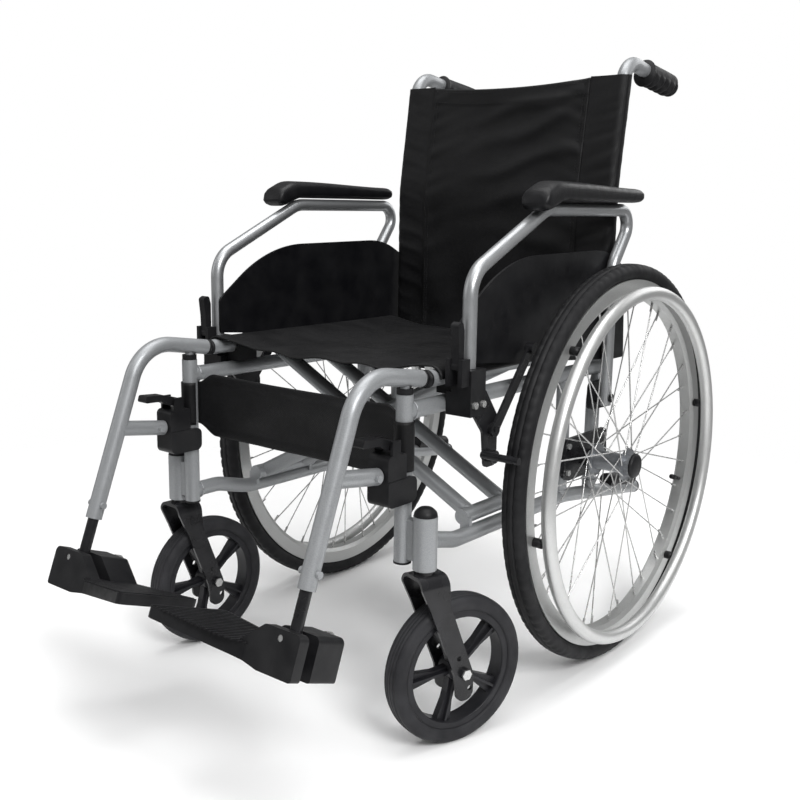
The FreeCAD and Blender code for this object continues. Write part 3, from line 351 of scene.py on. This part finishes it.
def grid(columns, rows, wrap_columns=False, wrap_rows=False):
    """Quads between points listed row by row."""
    faces = []
    for i in range(rows if wrap_rows else rows - 1):
        for j in range(columns if wrap_columns else columns - 1):
            right = (j + 1) % columns
            above = (i + 1) % rows
            faces.append((
                i * columns + j, i * columns + right, above * columns + right, above * columns + j
            ))
    return faces


def capped_grid(columns, rows):
    """The faces of a closed form: rings of points, with a face over each end."""
    last = columns * (rows - 1)
    ends = [tuple(range(columns)), tuple(last + k for k in range(columns))]
    return grid(columns, rows, True, False) + ends


def circle(radius, angle):
    return Vector((radius * math.cos(angle), radius * math.sin(angle), 0))


def metres(profile):
    return [(radius / 1000, place / 1000) for radius, place in profile]


def ring(name, profile, count, finish, matrix, cut=None):
    """A closed profile of (radius, place along the axis), swept round the local X axis."""
    points = []
    for i in range(count):
        angle = math.tau * i / count
        for radius, place in profile:
            r = radius - (cut(i, radius, place) if cut else 0.0)
            points.append(Vector((place, r * math.cos(angle), r * math.sin(angle))))
    return piece(name, points, grid(len(profile), count, True, True), finish, matrix)


def bars(name, spans, finish, sides=6, matrix=None, smooth=False):
    """Many short bars, each (start, end, radius), as one piece."""
    points, faces = [], []
    for start, end, radius in spans:
        start, end = Vector(start), Vector(end)
        turn = (end - start).to_track_quat("Z", "Y")
        first = len(points)
        for centre in (start, end):
            for i in range(sides):
                angle = math.tau * i / sides
                points.append(centre + turn @ circle(radius, angle))
        for i in range(sides):
            j = (i + 1) % sides
            faces.append((first + i, first + j, first + sides + j, first + sides + i))
        faces.append(tuple(first + i for i in range(sides)))
        faces.append(tuple(first + sides + i for i in range(sides)))
    return piece(name, points, faces, finish, matrix, smooth)


def rides(made, body):
    """Fixes a piece to a body."""
    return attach(made, body)


# ---------------------------------------------------------------- rear wheels

TREAD_SEGMENTS = 440
SPOKES = 36
HANDRIM_FEET = 6
TYRE_PROFILE = [
    (275.8, -9.2), (282.0, -9.2), (285.5, -13.2), (289.0, -16.2), (293.0, -17.0), (297.0, -16.4),
    (300.5, -14.6), (302.8, -12.6), (303.9, -10.4), (304.5, -8.0), (304.6, -5.6), (303.4, -5.0),
    (303.4, -4.0), (305.0, -3.5), (305.0, 0.0), (305.0, 3.5), (303.4, 4.0), (303.4, 5.0),
    (304.6, 5.6), (304.5, 8.0), (303.9, 10.4), (302.8, 12.6), (300.5, 14.6), (297.0, 16.4),
    (293.0, 17.0), (289.0, 16.2), (285.5, 13.2), (282.0, 9.2), (275.8, 9.2),
]
HUB_CAP_PROFILE = [
    (0.0, 35.8), (13.5, 35.6), (17.5, 33.8), (19.0, 31.2), (19.0, 28.5),
    (18.2, 28.5), (18.2, 30.5), (15.0, 35.0), (0.0, 35.3),
]


def tread_cut(i, radius, place):
    """Grooves between the tyre's shoulder blocks, staggered from side to side."""
    if radius < 0.3000 or abs(place) < 0.0053:
        return 0.0
    step = i + (2 if place > 0 else 0)
    return 0.0017 if step % 4 == 0 else 0.0


def wheel_matrix(side):
    return Matrix.Translation((side * WHEEL.x, WHEEL.y, WHEEL.z))


def dress_rear_wheel(tag, side):
    body = f"rear_wheel_{tag}"
    matrix = wheel_matrix(side)
    profile = metres(TYRE_PROFILE)
    tyre = ring(f"tread_tyre_{tag}", profile, TREAD_SEGMENTS, "tyre", matrix, tread_cut)
    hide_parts(f"rear_tyre_{tag}")
    rides(tyre, body)

    nipples = []
    for i in range(SPOKES):
        angle = math.radians(360 / SPOKES * i)
        across = side * 0.15 * (-0.034 if i % 2 == 0 else 0.018)
        nipples.append([
            (across, r * math.cos(angle), r * math.sin(angle)) for r in (0.2425, 0.2568)
        ] + [0.0019])
    rides(bars(f"spoke_nipples_{tag}", nipples, "zinc", 8, matrix), body)

    turn = math.radians(-17)
    outward = Vector((0, math.cos(turn), math.sin(turn)))
    valve = [(outward * 0.2566, outward * 0.236, 0.0029), (outward * 0.237, outward * 0.222, 0.0042)]
    rides(bars(f"valve_{tag}", valve, "black_plastic", 12, matrix, True), body)

    cap = [(radius, side * place) for radius, place in metres(HUB_CAP_PROFILE)]
    rides(ring(f"hub_cap_{tag}", cap, 40, "black_plastic", matrix), body)

    feet = []
    for i in range(HANDRIM_FEET):
        angle = math.radians(360 / HANDRIM_FEET * i + 13)
        y, z = 0.265 * math.cos(angle), 0.265 * math.sin(angle)
        feet.append(((side * 0.0126, y, z), (side * 0.0252, y, z), 0.0066))
    rides(bars(f"handrim_feet_{tag}", feet, "black_plastic", 16, matrix, True), body)


# ---------------------------------------------------------------- casters


def caster_matrix(side):
    """A caster wheel's place, with each fork turned on its stem by its own angle."""
    angle = math.radians(-18.6 if side > 0 else -3.5)
    swivel = Matrix.Translation((side * CASTER_X, behind(2.7), 0)) @ Matrix.Rotation(angle, 4, "Z")
    return swivel @ Matrix.Translation((0, 0.0488, 0.1))


CASTER_PROFILE = [
    (80.4, -14.6), (84.0, -15.6), (88.0, -16.6), (92.0, -16.9), (95.5, -15.9), (98.2, -13.2), (99.4, -9.6),
    (98.6, -9.0), (98.6, -8.2), (99.8, -7.6), (100.0, -3.6), (98.9, -3.1), (98.9, -2.3), (100.0, -1.8),
    (100.0, 1.8), (98.9, 2.3), (98.9, 3.1), (100.0, 3.6), (99.8, 7.6), (98.6, 8.2), (98.6, 9.0),
    (99.4, 9.6), (98.2, 13.2), (95.5, 15.9), (92.0, 16.9), (88.0, 16.6), (84.0, 15.6), (80.4, 14.6),
]


def dress_caster(tag, side):
    matrix = caster_matrix(side)
    tyre = ring(f"grooved_tyre_{tag}", metres(CASTER_PROFILE), 144, "caster_rubber", matrix)
    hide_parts(f"caster_tyre_{tag}")
    rides(tyre, f"caster_wheel_{tag}")
    nuts = [((way * 0.0246, 0, 0), (way * 0.0312, 0, 0), 0.0072) for way in (-1, 1)]
    made = bars(f"caster_nuts_{tag}", nuts, "zinc", 6, matrix)
    rides(made, f"caster_swivel_{tag}")


# ---------------------------------------------------------------- push grips


def dress_grip(tag, side):
    """A rubber grip with a flared collar, finger waves below and a rounded end."""
    start = Vector((side * FRAME_X, behind(541), 0.919))
    end = Vector((side * FRAME_X, behind(700), 0.895))
    along = (end - start).normalized()
    origin = start + along * 0.068
    length = (end + along * 0.011 - origin).length
    down = Vector((0, along.z, -along.y))
    rows, columns = 74, 36
    points = []
    for i in range(rows):
        t = i / (rows - 1)
        collar = 0.0024 * math.exp(-((t - 0.03) / 0.03) ** 2)
        cap = math.sqrt(max(0.0, 1 - max(0.0, (t - 0.93) / 0.0701) ** 2))
        for k in range(columns):
            angle = math.tau * k / columns
            under = max(0.0, -math.cos(angle))
            waves = 0.5 + 0.5 * math.cos(math.tau * (t * 5.2 - 0.1))
            radius = 0.0156 + collar + under * (0.0004 + 0.0072 * waves)
            ribbed = i % 3 == 0 and under == 0 and 0.1 < t < 0.9
            radius -= 0.0005 if ribbed else 0.0
            if t > 0.93:
                radius *= 0.25 + 0.75 * cap
            across = Vector((math.sin(angle), 0, 0)) * radius
            lift = Vector((0, 0, 0.0030 * ease(t)))
            centre = origin + along * (t * length)
            points.append(centre + across + lift - down * (math.cos(angle) * radius))
    grip = piece(f"hand_grip_{tag}", points, capped_grid(columns, rows), "grip")
    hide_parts(f"push_grip_{tag}")
    rides(grip, f"frame_{tag}")


# ---------------------------------------------------------------- arm pads


def dress_arm_pad(tag, side):
    """A moulded foam pad: crowned on top, drooping at the front, with a parting line."""
    rows, columns = 60, 40
    centre_x = side * ARM_X
    points = []
    for i in range(rows):
        t = i / (rows - 1)
        back = 212 + 288 * t
        top = 0.7125 + 0.0125 * ease((back - 212) / 40) - 0.0060 * ease((back - 270) / 230)
        low = 0.6990 - 0.0135 * (1 - ease((back - 222) / 48))
        nose = math.sqrt(max(0.0, 1 - (1 - min(t / 0.042, 1.0)) ** 2))
        tail = math.sqrt(max(0.0, 1 - (1 - min((1 - t) / 0.045, 1.0)) ** 2))
        round_off = max(0.12, min(nose, tail))
        half = 0.0238 * (0.80 + 0.20 * min(nose, tail)) * (0.93 + 0.07 * ease(t * 4))
        middle = (top + low) / 2 - 0.004 * (1 - nose)
        rise = (top - low) / 2 * round_off
        for k in range(columns):
            angle = math.tau * k / columns
            c, s = math.cos(angle), math.sin(angle)
            u = math.copysign(abs(c) ** 0.55, c)
            v = math.copysign(abs(s) ** 0.62, s)
            crown = 0.0012 * (1 - u * u) if v > 0 else 0.0
            seam = 0.9 if abs(v) < 0.12 else 1.0
            x = centre_x + half * u * (0.98 + 0.02 * seam)
            points.append(Vector((x, behind(back), middle + rise * v + crown)))
    pad = piece(f"foam_pad_{tag}", points, capped_grid(columns, rows), "pad_skin")
    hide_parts(f"arm_pad_{tag}")
    rides(pad, f"armrest_{tag}")


# ---------------------------------------------------------------- footplates


def foot_matrix(side):
    """A footplate's hinge, leaning with the footrest tube."""
    hinge = Vector((
        side * FRAME_X,
        behind(-175.1 - 56.5 * math.sin(FOOT_TILT)),
        0.2591 - 0.0565 * math.cos(FOOT_TILT),
    ))
    return Matrix.Translation(hinge) @ Matrix.Rotation(-FOOT_TILT, 4, "X")


def dress_footplate(tag, side):
    """Raised ribs across the tread, each a low rounded bar."""
    points, faces = [], []
    for i in range(24):
        u = 0.030 + 0.0061 * i
        top = -0.021 + 0.012 * (u - 0.024) / 0.154
        front = -0.0145 - 0.030 * ease((u - 0.02) / 0.06) - 0.0235 * (u - 0.06) / 0.118
        front = max(front, -0.064)
        rear = 0.0535 + 0.005 * (u - 0.03) / 0.148
        corners = []
        for y in (front, rear):
            for du, dz in ((-0.0019, -0.0006), (-0.0011, 0.0012), (0.0011, 0.0012), (0.0019, -0.0006)):
                corners.append(Vector((-side * (u + du), y, top + dz)))
        first = len(points)
        points += corners
        for k in range(4):
            j = (k + 1) % 4
            faces.append((first + k, first + j, first + 4 + j, first + 4 + k))
        faces.append((first, first + 1, first + 2, first + 3))
        faces.append((first + 4, first + 5, first + 6, first + 7))
    ribs = piece(f"tread_ribs_{tag}", points, faces, "black_plastic", foot_matrix(side), False)
    rides(ribs, f"footplate_{tag}")


# ---------------------------------------------------------------- upholstery


def cane_y(z):
    """The middle of the back cane at a height: upright, then leaning back after a soft bend."""
    reach = BEND_RADIUS * math.tan(math.atan(LEAN) / 2)
    low = BEND_Z - reach
    high = BEND_Z + reach * math.cos(math.atan(LEAN))
    if z <= low:
        return CANE_Y
    if z >= high:
        return CANE_Y + (z - BEND_Z) * LEAN
    return CANE_Y + BEND_RADIUS - math.sqrt(BEND_RADIUS**2 - (z - low) ** 2)


BACK_LOW, BACK_TOP = 0.456, 0.8925
BACK_SAG, BACK_DIP = 0.0065, 0.0075
SEAM_X = 0.153

# Each fold's height at the middle, its slope, how far it stands out, and its width.
PULL_FOLDS = [
    (0.846, 0.20, 0.0046, 0.011),
    (0.802, 0.30, 0.0052, 0.014),
    (0.752, 0.24, 0.0044, 0.012),
    (0.700, 0.14, 0.0034, 0.014),
    (0.648, -0.10, 0.0026, 0.016),
]


def pull_folds(x, z):
    """Slanting ridges in the cloth, strongest towards the sitter's left seam."""
    height = 0.0
    for start, slope, rise, width in PULL_FOLDS:
        away = z - start - slope * x - 0.005 * math.sin(38 * x + 90 * start)
        ends = ease((x + 0.13) / 0.20) * ease((0.150 - x) / 0.05)
        height += rise * math.exp(-((away / width) ** 2)) * ends
    return height


def back_front(z):
    """The Y of the back cloth where it leaves the sleeves."""
    return cane_y(z) - 0.0128


def back_panel():
    """The cloth between the two sleeves' seams, with a hem and slack diagonal folds."""
    columns, rows = 121, 141
    points = []
    for i in range(rows):
        t = i / (rows - 1)
        for j in range(columns):
            u = 2 * j / (columns - 1) - 1
            sag = BACK_SAG * (1 - u * u) * ease(t * 3) * ease((1 - t) * 1.6 + 0.35)
            dip = BACK_DIP * (1 - u * u) * ease((t - 0.6) / 0.4)
            z = BACK_LOW + (BACK_TOP - BACK_LOW) * t - dip
            x = SEAM_X * u
            edge = 1 - abs(u)
            pull = math.exp(-edge * 5.0)
            folds = 0.0036 * pull * ripple(abs(x) * 30 + z * 95, z * 12, 5) * ease(edge * 14)
            broad = 0.0042 * ripple(x * 16 + z * 9, z * 13 - x * 5, 11) * ease(edge * 6)
            lower = 0.0034 * math.sin(x * 52 + 1.1 + 3 * math.sin(z * 9))
            lower *= (1 - ease((z - 0.46) / 0.16)) * ease(edge * 5)
            hem = 0.0009 if BACK_TOP - dip - z < 0.026 else 0.0
            y = back_front(z) + sag + folds + broad + lower - hem - pull_folds(x, z)
            points.append(Vector((x, y, z)))
    cloth = piece("back_panel", points, grid(columns, rows), "nylon")
    return thicken(cloth, 0.0024)


def sleeve(tag, side):
    """A cloth sleeve round one cane, closed by the seam where it joins the panel."""
    columns, rows = 44, 131
    radius = 0.0129
    points = []
    for i in range(rows):
        t = i / (rows - 1)
        z = BACK_LOW - 0.004 + (BACK_TOP + 0.002 - BACK_LOW + 0.004) * t
        for k in range(columns):
            angle = math.tau * k / columns
            out, fore = math.cos(angle), math.sin(angle)
            x = FRAME_X + radius * out
            y = -radius * fore
            if out < 0:
                flat = (-out) ** 1.6
                x = FRAME_X - radius * (-out) * (1 - flat) - flat * (FRAME_X - SEAM_X)
                lap = 0.0022 * math.copysign(1, -fore) * flat * (1 - flat)
                y = y * (1 - flat) - 0.0128 * flat + lap
                y = min(max(y, -0.0142), 0.0129)
            slack = 0.0011 * ripple(z * 150 + angle * 1.4, angle * 2 + z * 38, 23 + side)
            slack *= 0.5 + 0.5 * abs(fore)
            creases = 0.0009 * max(0.0, math.sin(z * 210 + 2.2 * angle)) * max(0.0, fore)
            creases *= ease((0.86 - z) / 0.1 + 0.3)
            if out < 0.6:
                y -= (slack + creases) * (1 if fore > 0 else -1)
            x += abs(slack) * max(0.0, out)
            points.append(Vector((side * x, cane_y(z) + y, z)))
    return piece(f"back_sleeve_{tag}", points, grid(columns, rows, True, False), "nylon")


def stitches(name, path, finish, gap=0.0042, length=0.0027, radius=0.00042):
    """A row of short raised threads that follows a line of points."""
    spans = []
    carry = 0.0
    for start, end in zip(path, path[1:]):
        step = end - start
        ahead = step.normalized()
        place = carry
        while place + length <= step.length:
            spans.append((start + ahead * place, start + ahead * (place + length), radius))
            place += gap
        carry = max(0.0, place - step.length)
    return bars(name, spans, finish, 5, None, True)


SEAT_FRONT, SEAT_REAR = 52, 468


def seat_height(x):
    """The top of the seat cloth across the chair, over the rails and down outside them."""
    radius = TUBE + 0.0030
    over = abs(x) - RAIL_X
    if over > 0:
        return RAIL_Z + math.sqrt(max(radius**2 - over**2, 0.0))
    share = 1 - abs(x) / RAIL_X
    return RAIL_Z + radius - 0.0105 * ease(share * 2.2) - 0.0020 * ease(share)


def seat_cloth():
    """The seat: taut over its rails, with lengthwise slack folds, hems and an outer flap."""
    radius = TUBE + 0.0026
    wrap = [math.radians(a) for a in range(96, 0, -12)]
    across = [-RAIL_X - radius * math.sin(a) for a in wrap]
    down = [RAIL_Z + radius * math.cos(a) for a in wrap]
    middle = [-RAIL_X + 2 * RAIL_X * j / 110 for j in range(111)]
    xs = across + middle + [-x for x in reversed(across)]
    zs = down + [seat_height(x) for x in middle] + list(reversed(down))
    rows = 101
    points = []
    for i in range(rows):
        t = i / (rows - 1)
        y = behind(SEAT_FRONT + (SEAT_REAR - SEAT_FRONT) * t)
        for x, z in zip(xs, zs):
            inner = ease((RAIL_X - 0.012 - abs(x)) / 0.07)
            folds = 0.0021 * inner * ripple(x * 42, y * 10 + x * 6, 31)
            fan = 0.0016 * inner * math.sin(x * 75 + 5 * math.sin(y * 8))
            fan *= 1 - ease((y - behind(60)) / 0.14)
            hem = 0.0008 if min(y - behind(SEAT_FRONT), behind(SEAT_REAR) - y) < 0.022 else 0.0
            bow = 0.0018 * (1 - (x / RAIL_X) ** 2) if i == 0 and abs(x) < RAIL_X else 0.0
            sink = 0.002 * inner * math.sin(math.pi * t)
            points.append(Vector((x, y + bow, z + folds + fan + hem - sink)))
    cloth = piece("seat_cloth", points, grid(len(xs), rows), "nylon")
    return thicken(cloth, 0.0022)


STRAP_LOW, STRAP_TOP = 0.3655, 0.4285
STRAP_HALF = 0.196


def strap_band():
    """The calf strap: a wide soft band that bows back between the posts."""
    columns, rows = 131, 31
    points = []
    for i in range(rows):
        t = i / (rows - 1)
        for j in range(columns):
            u = 2 * j / (columns - 1) - 1
            widen = 0.015 * ease((1 - abs(u)) * 6)
            z = STRAP_LOW - widen + (STRAP_TOP - STRAP_LOW + 2 * widen) * t
            z -= 0.004 * (1 - u * u)
            y = behind(11.6) + 0.010 * (1 - u * u) + 0.003 * (1 - u * u) * math.cos(math.pi * t)
            y += 0.0016 * ripple(u * 9, t * 4, 41) * ease((1 - abs(u)) * 7)
            y -= 0.0008 if min(t, 1 - t) < 0.12 else 0.0
            points.append(Vector((u * STRAP_HALF, y, z)))
    cloth = piece("calf_band", points, grid(columns, rows), "nylon")
    return thicken(cloth, 0.0030)


def strap_loop(tag, side):
    """The strap's end, looped round a front post and lapped back on itself."""
    columns, rows = 46, 15
    points = []
    for i in range(rows):
        t = i / (rows - 1)
        z = STRAP_LOW + (STRAP_TOP - STRAP_LOW) * t
        for k in range(columns):
            angle = math.radians(62 + 296 * k / (columns - 1))
            radius = 0.0123 + 0.0002 * ripple(angle * 2, t * 3, 51)
            x = side * (FRAME_X - radius * math.cos(angle))
            points.append(Vector((x, POST_Y + radius * math.sin(angle), z)))
    cloth = piece(f"calf_loop_{tag}", points, grid(columns, rows), "nylon")
    return thicken(cloth, 0.0018)


def back_seams():
    """The lines of stitching: two down each side of the back and two along its top hem."""
    seams = []
    for side in (-1, 1):
        for inset in (0.004, 0.0095):
            path = []
            for i in range(110):
                z = BACK_LOW + 0.004 + (BACK_TOP - BACK_LOW - 0.010) * i / 109
                path.append(Vector((side * (SEAM_X - inset), back_front(z) - 0.0012, z)))
            seams.append(path)
    for drop in (0.006, 0.024):
        path = []
        for j in range(90):
            u = 2 * j / 89 - 1
            z = BACK_TOP - BACK_DIP * (1 - u * u) - drop
            y = back_front(z) + BACK_SAG * (1 - u * u) * ease(0.398) - 0.0030
            path.append(Vector((SEAM_X * 0.96 * u, y, z)))
        seams.append(path)
    return seams


def dress_upholstery():
    """The back, seat and calf strap: the back, its stitching, sleeves and the strap ride on the frame's
    bodies, and the seat is baked in place.
    """
    panel = back_panel()
    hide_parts("back_sling")
    sleeves = {tag: sleeve(tag, side) for tag, side in SIDES.items()}
    threads = []
    for number, path in enumerate(back_seams()):
        thread = stitches(f"back_stitch_{number}", path, "webbing")
        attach(thread, "frame_right")
        threads.append(thread)
    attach(panel, "frame_right")
    for soft in (panel, *threads):
        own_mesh(soft)
    for tag, cloth in sleeves.items():
        rides(cloth, f"frame_{tag}")

    seat = seat_cloth()
    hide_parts("seat_sling")
    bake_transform(seat)

    band = strap_band()
    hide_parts("calf_strap")
    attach(band, "frame_right")
    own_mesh(band)
    for tag, side in SIDES.items():
        rides(strap_loop(tag, side), f"frame_{tag}")


# ---------------------------------------------------------------- small hardware


def tube_plugs(name, spans, body):
    rides(bars(name, spans, "black_plastic", 28, None, True), body)


def weld_bead(centre, axis):
    """The points and faces of a slightly wavy bead of weld round a tube."""
    count, sides, thick = 32, 8, 0.0016
    turn = Vector(axis).normalized().to_track_quat("Z", "Y")
    path = []
    for k in range(count):
        angle = math.tau * k / count
        radius = (TUBE + 0.0006) * (1 + 0.012 * math.sin(9 * angle))
        path.append(Vector(centre) + turn @ circle(radius, angle))
    points = []
    for k in range(count):
        ahead = (path[(k + 1) % count] - path[max(k - 1, 0)]).normalized()
        around = ahead.to_track_quat("Z", "Y")
        points += [path[k] + around @ circle(thick, math.tau * m / sides) for m in range(sides)]
    return points, grid(sides, count, True, True)


def dress_frame(tag, side):
    """Weld beads where the tubes meet, and plugs in the tubes' open ends."""
    x = side * FRAME_X
    welds = [
        ((x, behind(12.0), 0.440), (0, 1, 0)),
        ((x, behind(395), 0.429), (0, 0, 1)),
        ((x, behind(395), 0.2565), (0, 0, 1)),
        ((x, behind(491), 0.2545), (0, 0, 1)),
        ((x, behind(497), 0.440), (0, 1, 0.1)),
        ((x, behind(11.6), 0.262), (0, 1, 0)),
    ]
    points, faces = [], []
    for centre, axis in welds:
        first = len(points)
        bead, quads = weld_bead(centre, axis)
        points += bead
        faces += [tuple(first + corner for corner in quad) for quad in quads]
    rides(piece(f"weld_beads_{tag}", points, faces, "frame"), f"frame_{tag}")

    plugs = [
        ((x, behind(655), 0.2080), (x, behind(658.5), 0.2075), 0.0116),
        ((x, behind(0), 0.2470), (x, behind(0), 0.2445), 0.0116),
    ]
    tube_plugs(f"tube_plugs_{tag}", plugs, f"frame_{tag}")

    end = Vector((0, 116.1, -17.4)).normalized()
    rear = Vector((x, behind(31.5), 0.4776))
    plug = (rear - end * 0.001, rear + end * 0.003, 0.0116)
    tube_plugs(f"hanger_plug_{tag}", [plug], f"hanger_{tag}")


def dress_rails():
    """Plugs in both ends of each seat rail."""
    for name, side in (("brace_a", 1), ("brace_b", -1)):
        x = side * RAIL_X
        plugs = [
            ((x, behind(inner), RAIL_Z), (x, behind(outer), RAIL_Z), 0.0117)
            for inner, outer in ((42.2, 38.5), (469.8, 473.5))
        ]
        tube_plugs(f"rail_plugs_{name}", plugs, name)


for side_tag, side_sign in SIDES.items():
    dress_rear_wheel(side_tag, side_sign)
    dress_caster(side_tag, side_sign)
    dress_grip(side_tag, side_sign)
    dress_arm_pad(side_tag, side_sign)
    dress_footplate(side_tag, side_sign)
    dress_frame(side_tag, side_sign)
dress_rails()
dress_upholstery()


# ---------------------------------------------------------------- stage, lights and camera


def floor():
    """A pale floor that fades out with distance, so that it has no horizon."""
    half = 6.0
    corners = [(-half, -half, 0), (half, -half, 0), (half, half, 0), (-half, half, 0)]
    made = bpy.data.meshes.new("floor")
    made.from_pydata(corners, [], [(0, 1, 2, 3)])
    finish = Finish("pale_floor", (0.93, 0.93, 0.93), 0.75, Specular_IOR_Level=0.1)
    finish.tint(finish.noise(2.0, 3), (0.945, 0.945, 0.945), (0.955, 0.955, 0.955))
    tree = finish.material.node_tree
    place = tree.nodes.new("ShaderNodeTexCoord")
    reach = tree.nodes.new("ShaderNodeVectorMath")
    reach.operation = "LENGTH"
    solid = tree.nodes.new("ShaderNodeMapRange")
    solid.interpolation_type = "SMOOTHSTEP"
    solid.inputs["From Min"].default_value = 0.7
    solid.inputs["From Max"].default_value = 1.7
    solid.inputs["To Min"].default_value = 1.0
    solid.inputs["To Max"].default_value = 0.0
    tree.links.new(place.outputs["Object"], reach.inputs[0])
    tree.links.new(reach.outputs["Value"], solid.inputs["Value"])
    tree.links.new(solid.outputs["Result"], finish.shader.inputs["Alpha"])
    made.materials.append(finish.material)
    ground = bpy.data.objects.new("floor", made)
    bpy.context.scene.collection.objects.link(ground)


def area_light(name, place, target, size, power):
    """A soft rectangular light, in watts, turned to its target."""
    light = bpy.data.lights.new(name, "AREA")
    light.shape = "RECTANGLE"
    light.size, light.size_y = size
    light.energy = power
    lamp = bpy.data.objects.new(name, light)
    lamp.location = place
    lamp.rotation_euler = (Vector(target) - Vector(place)).to_track_quat("-Z", "Y").to_euler()
    bpy.context.scene.collection.objects.link(lamp)


def camera():
    """The main view: three quarters from the front, on the sitter's left."""
    place = Vector((0.9676, -1.2075, 0.6924))
    target = Vector((0.0274, -0.02635, 0.4017))
    data = bpy.data.cameras.new("camera")
    data.lens = 45.864
    data.sensor_width = 36
    data.clip_end = 60
    seen = bpy.data.objects.new("camera", data)
    roll = Matrix.Rotation(math.radians(0.904), 4, "Z")
    aim = (target - place).to_track_quat("-Z", "Y").to_matrix().to_4x4()
    seen.matrix_world = Matrix.Translation(place) @ aim @ roll
    bpy.context.scene.collection.objects.link(seen)
    bpy.context.scene.camera = seen


floor()
area_light("key", (2.6, -1.4, 2.4), (0, 0, 0.4), (1.2, 1.2), 78)
area_light("fill", (-2.6, -2.2, 1.8), (0, 0, 0.4), (2.0, 2.0), 10)
area_light("top", (0.0, 0.2, 3.2), (0, 0, 0.4), (2.0, 2.0), 34)
area_light("rear", (0.6, 3.0, 2.0), (0, 0, 0.5), (2.4, 1.6), 24)
sun = bpy.data.objects.new("sun", bpy.data.lights.new("sun", "SUN"))
sun.data.energy = 1.4
sun.data.angle = math.radians(70)
sun.rotation_euler = (math.radians(12), math.radians(8), 0)
bpy.context.scene.collection.objects.link(sun)
camera()

world = bpy.data.worlds.new("studio")
world.use_nodes = True
backdrop = world.node_tree.nodes["Background"]
backdrop.inputs["Color"].default_value = (1, 1, 1, 1)
glow = world.node_tree.nodes.new("ShaderNodeMapRange")
glow.inputs["To Min"].default_value = 0.26
glow.inputs["To Max"].default_value = 1.0
seen_directly = world.node_tree.nodes.new("ShaderNodeLightPath").outputs["Is Camera Ray"]
world.node_tree.links.new(seen_directly, glow.inputs["Value"])
world.node_tree.links.new(glow.outputs["Result"], backdrop.inputs["Strength"])
bpy.context.scene.world = world
bpy.context.scene.view_settings.view_transform = "Standard"
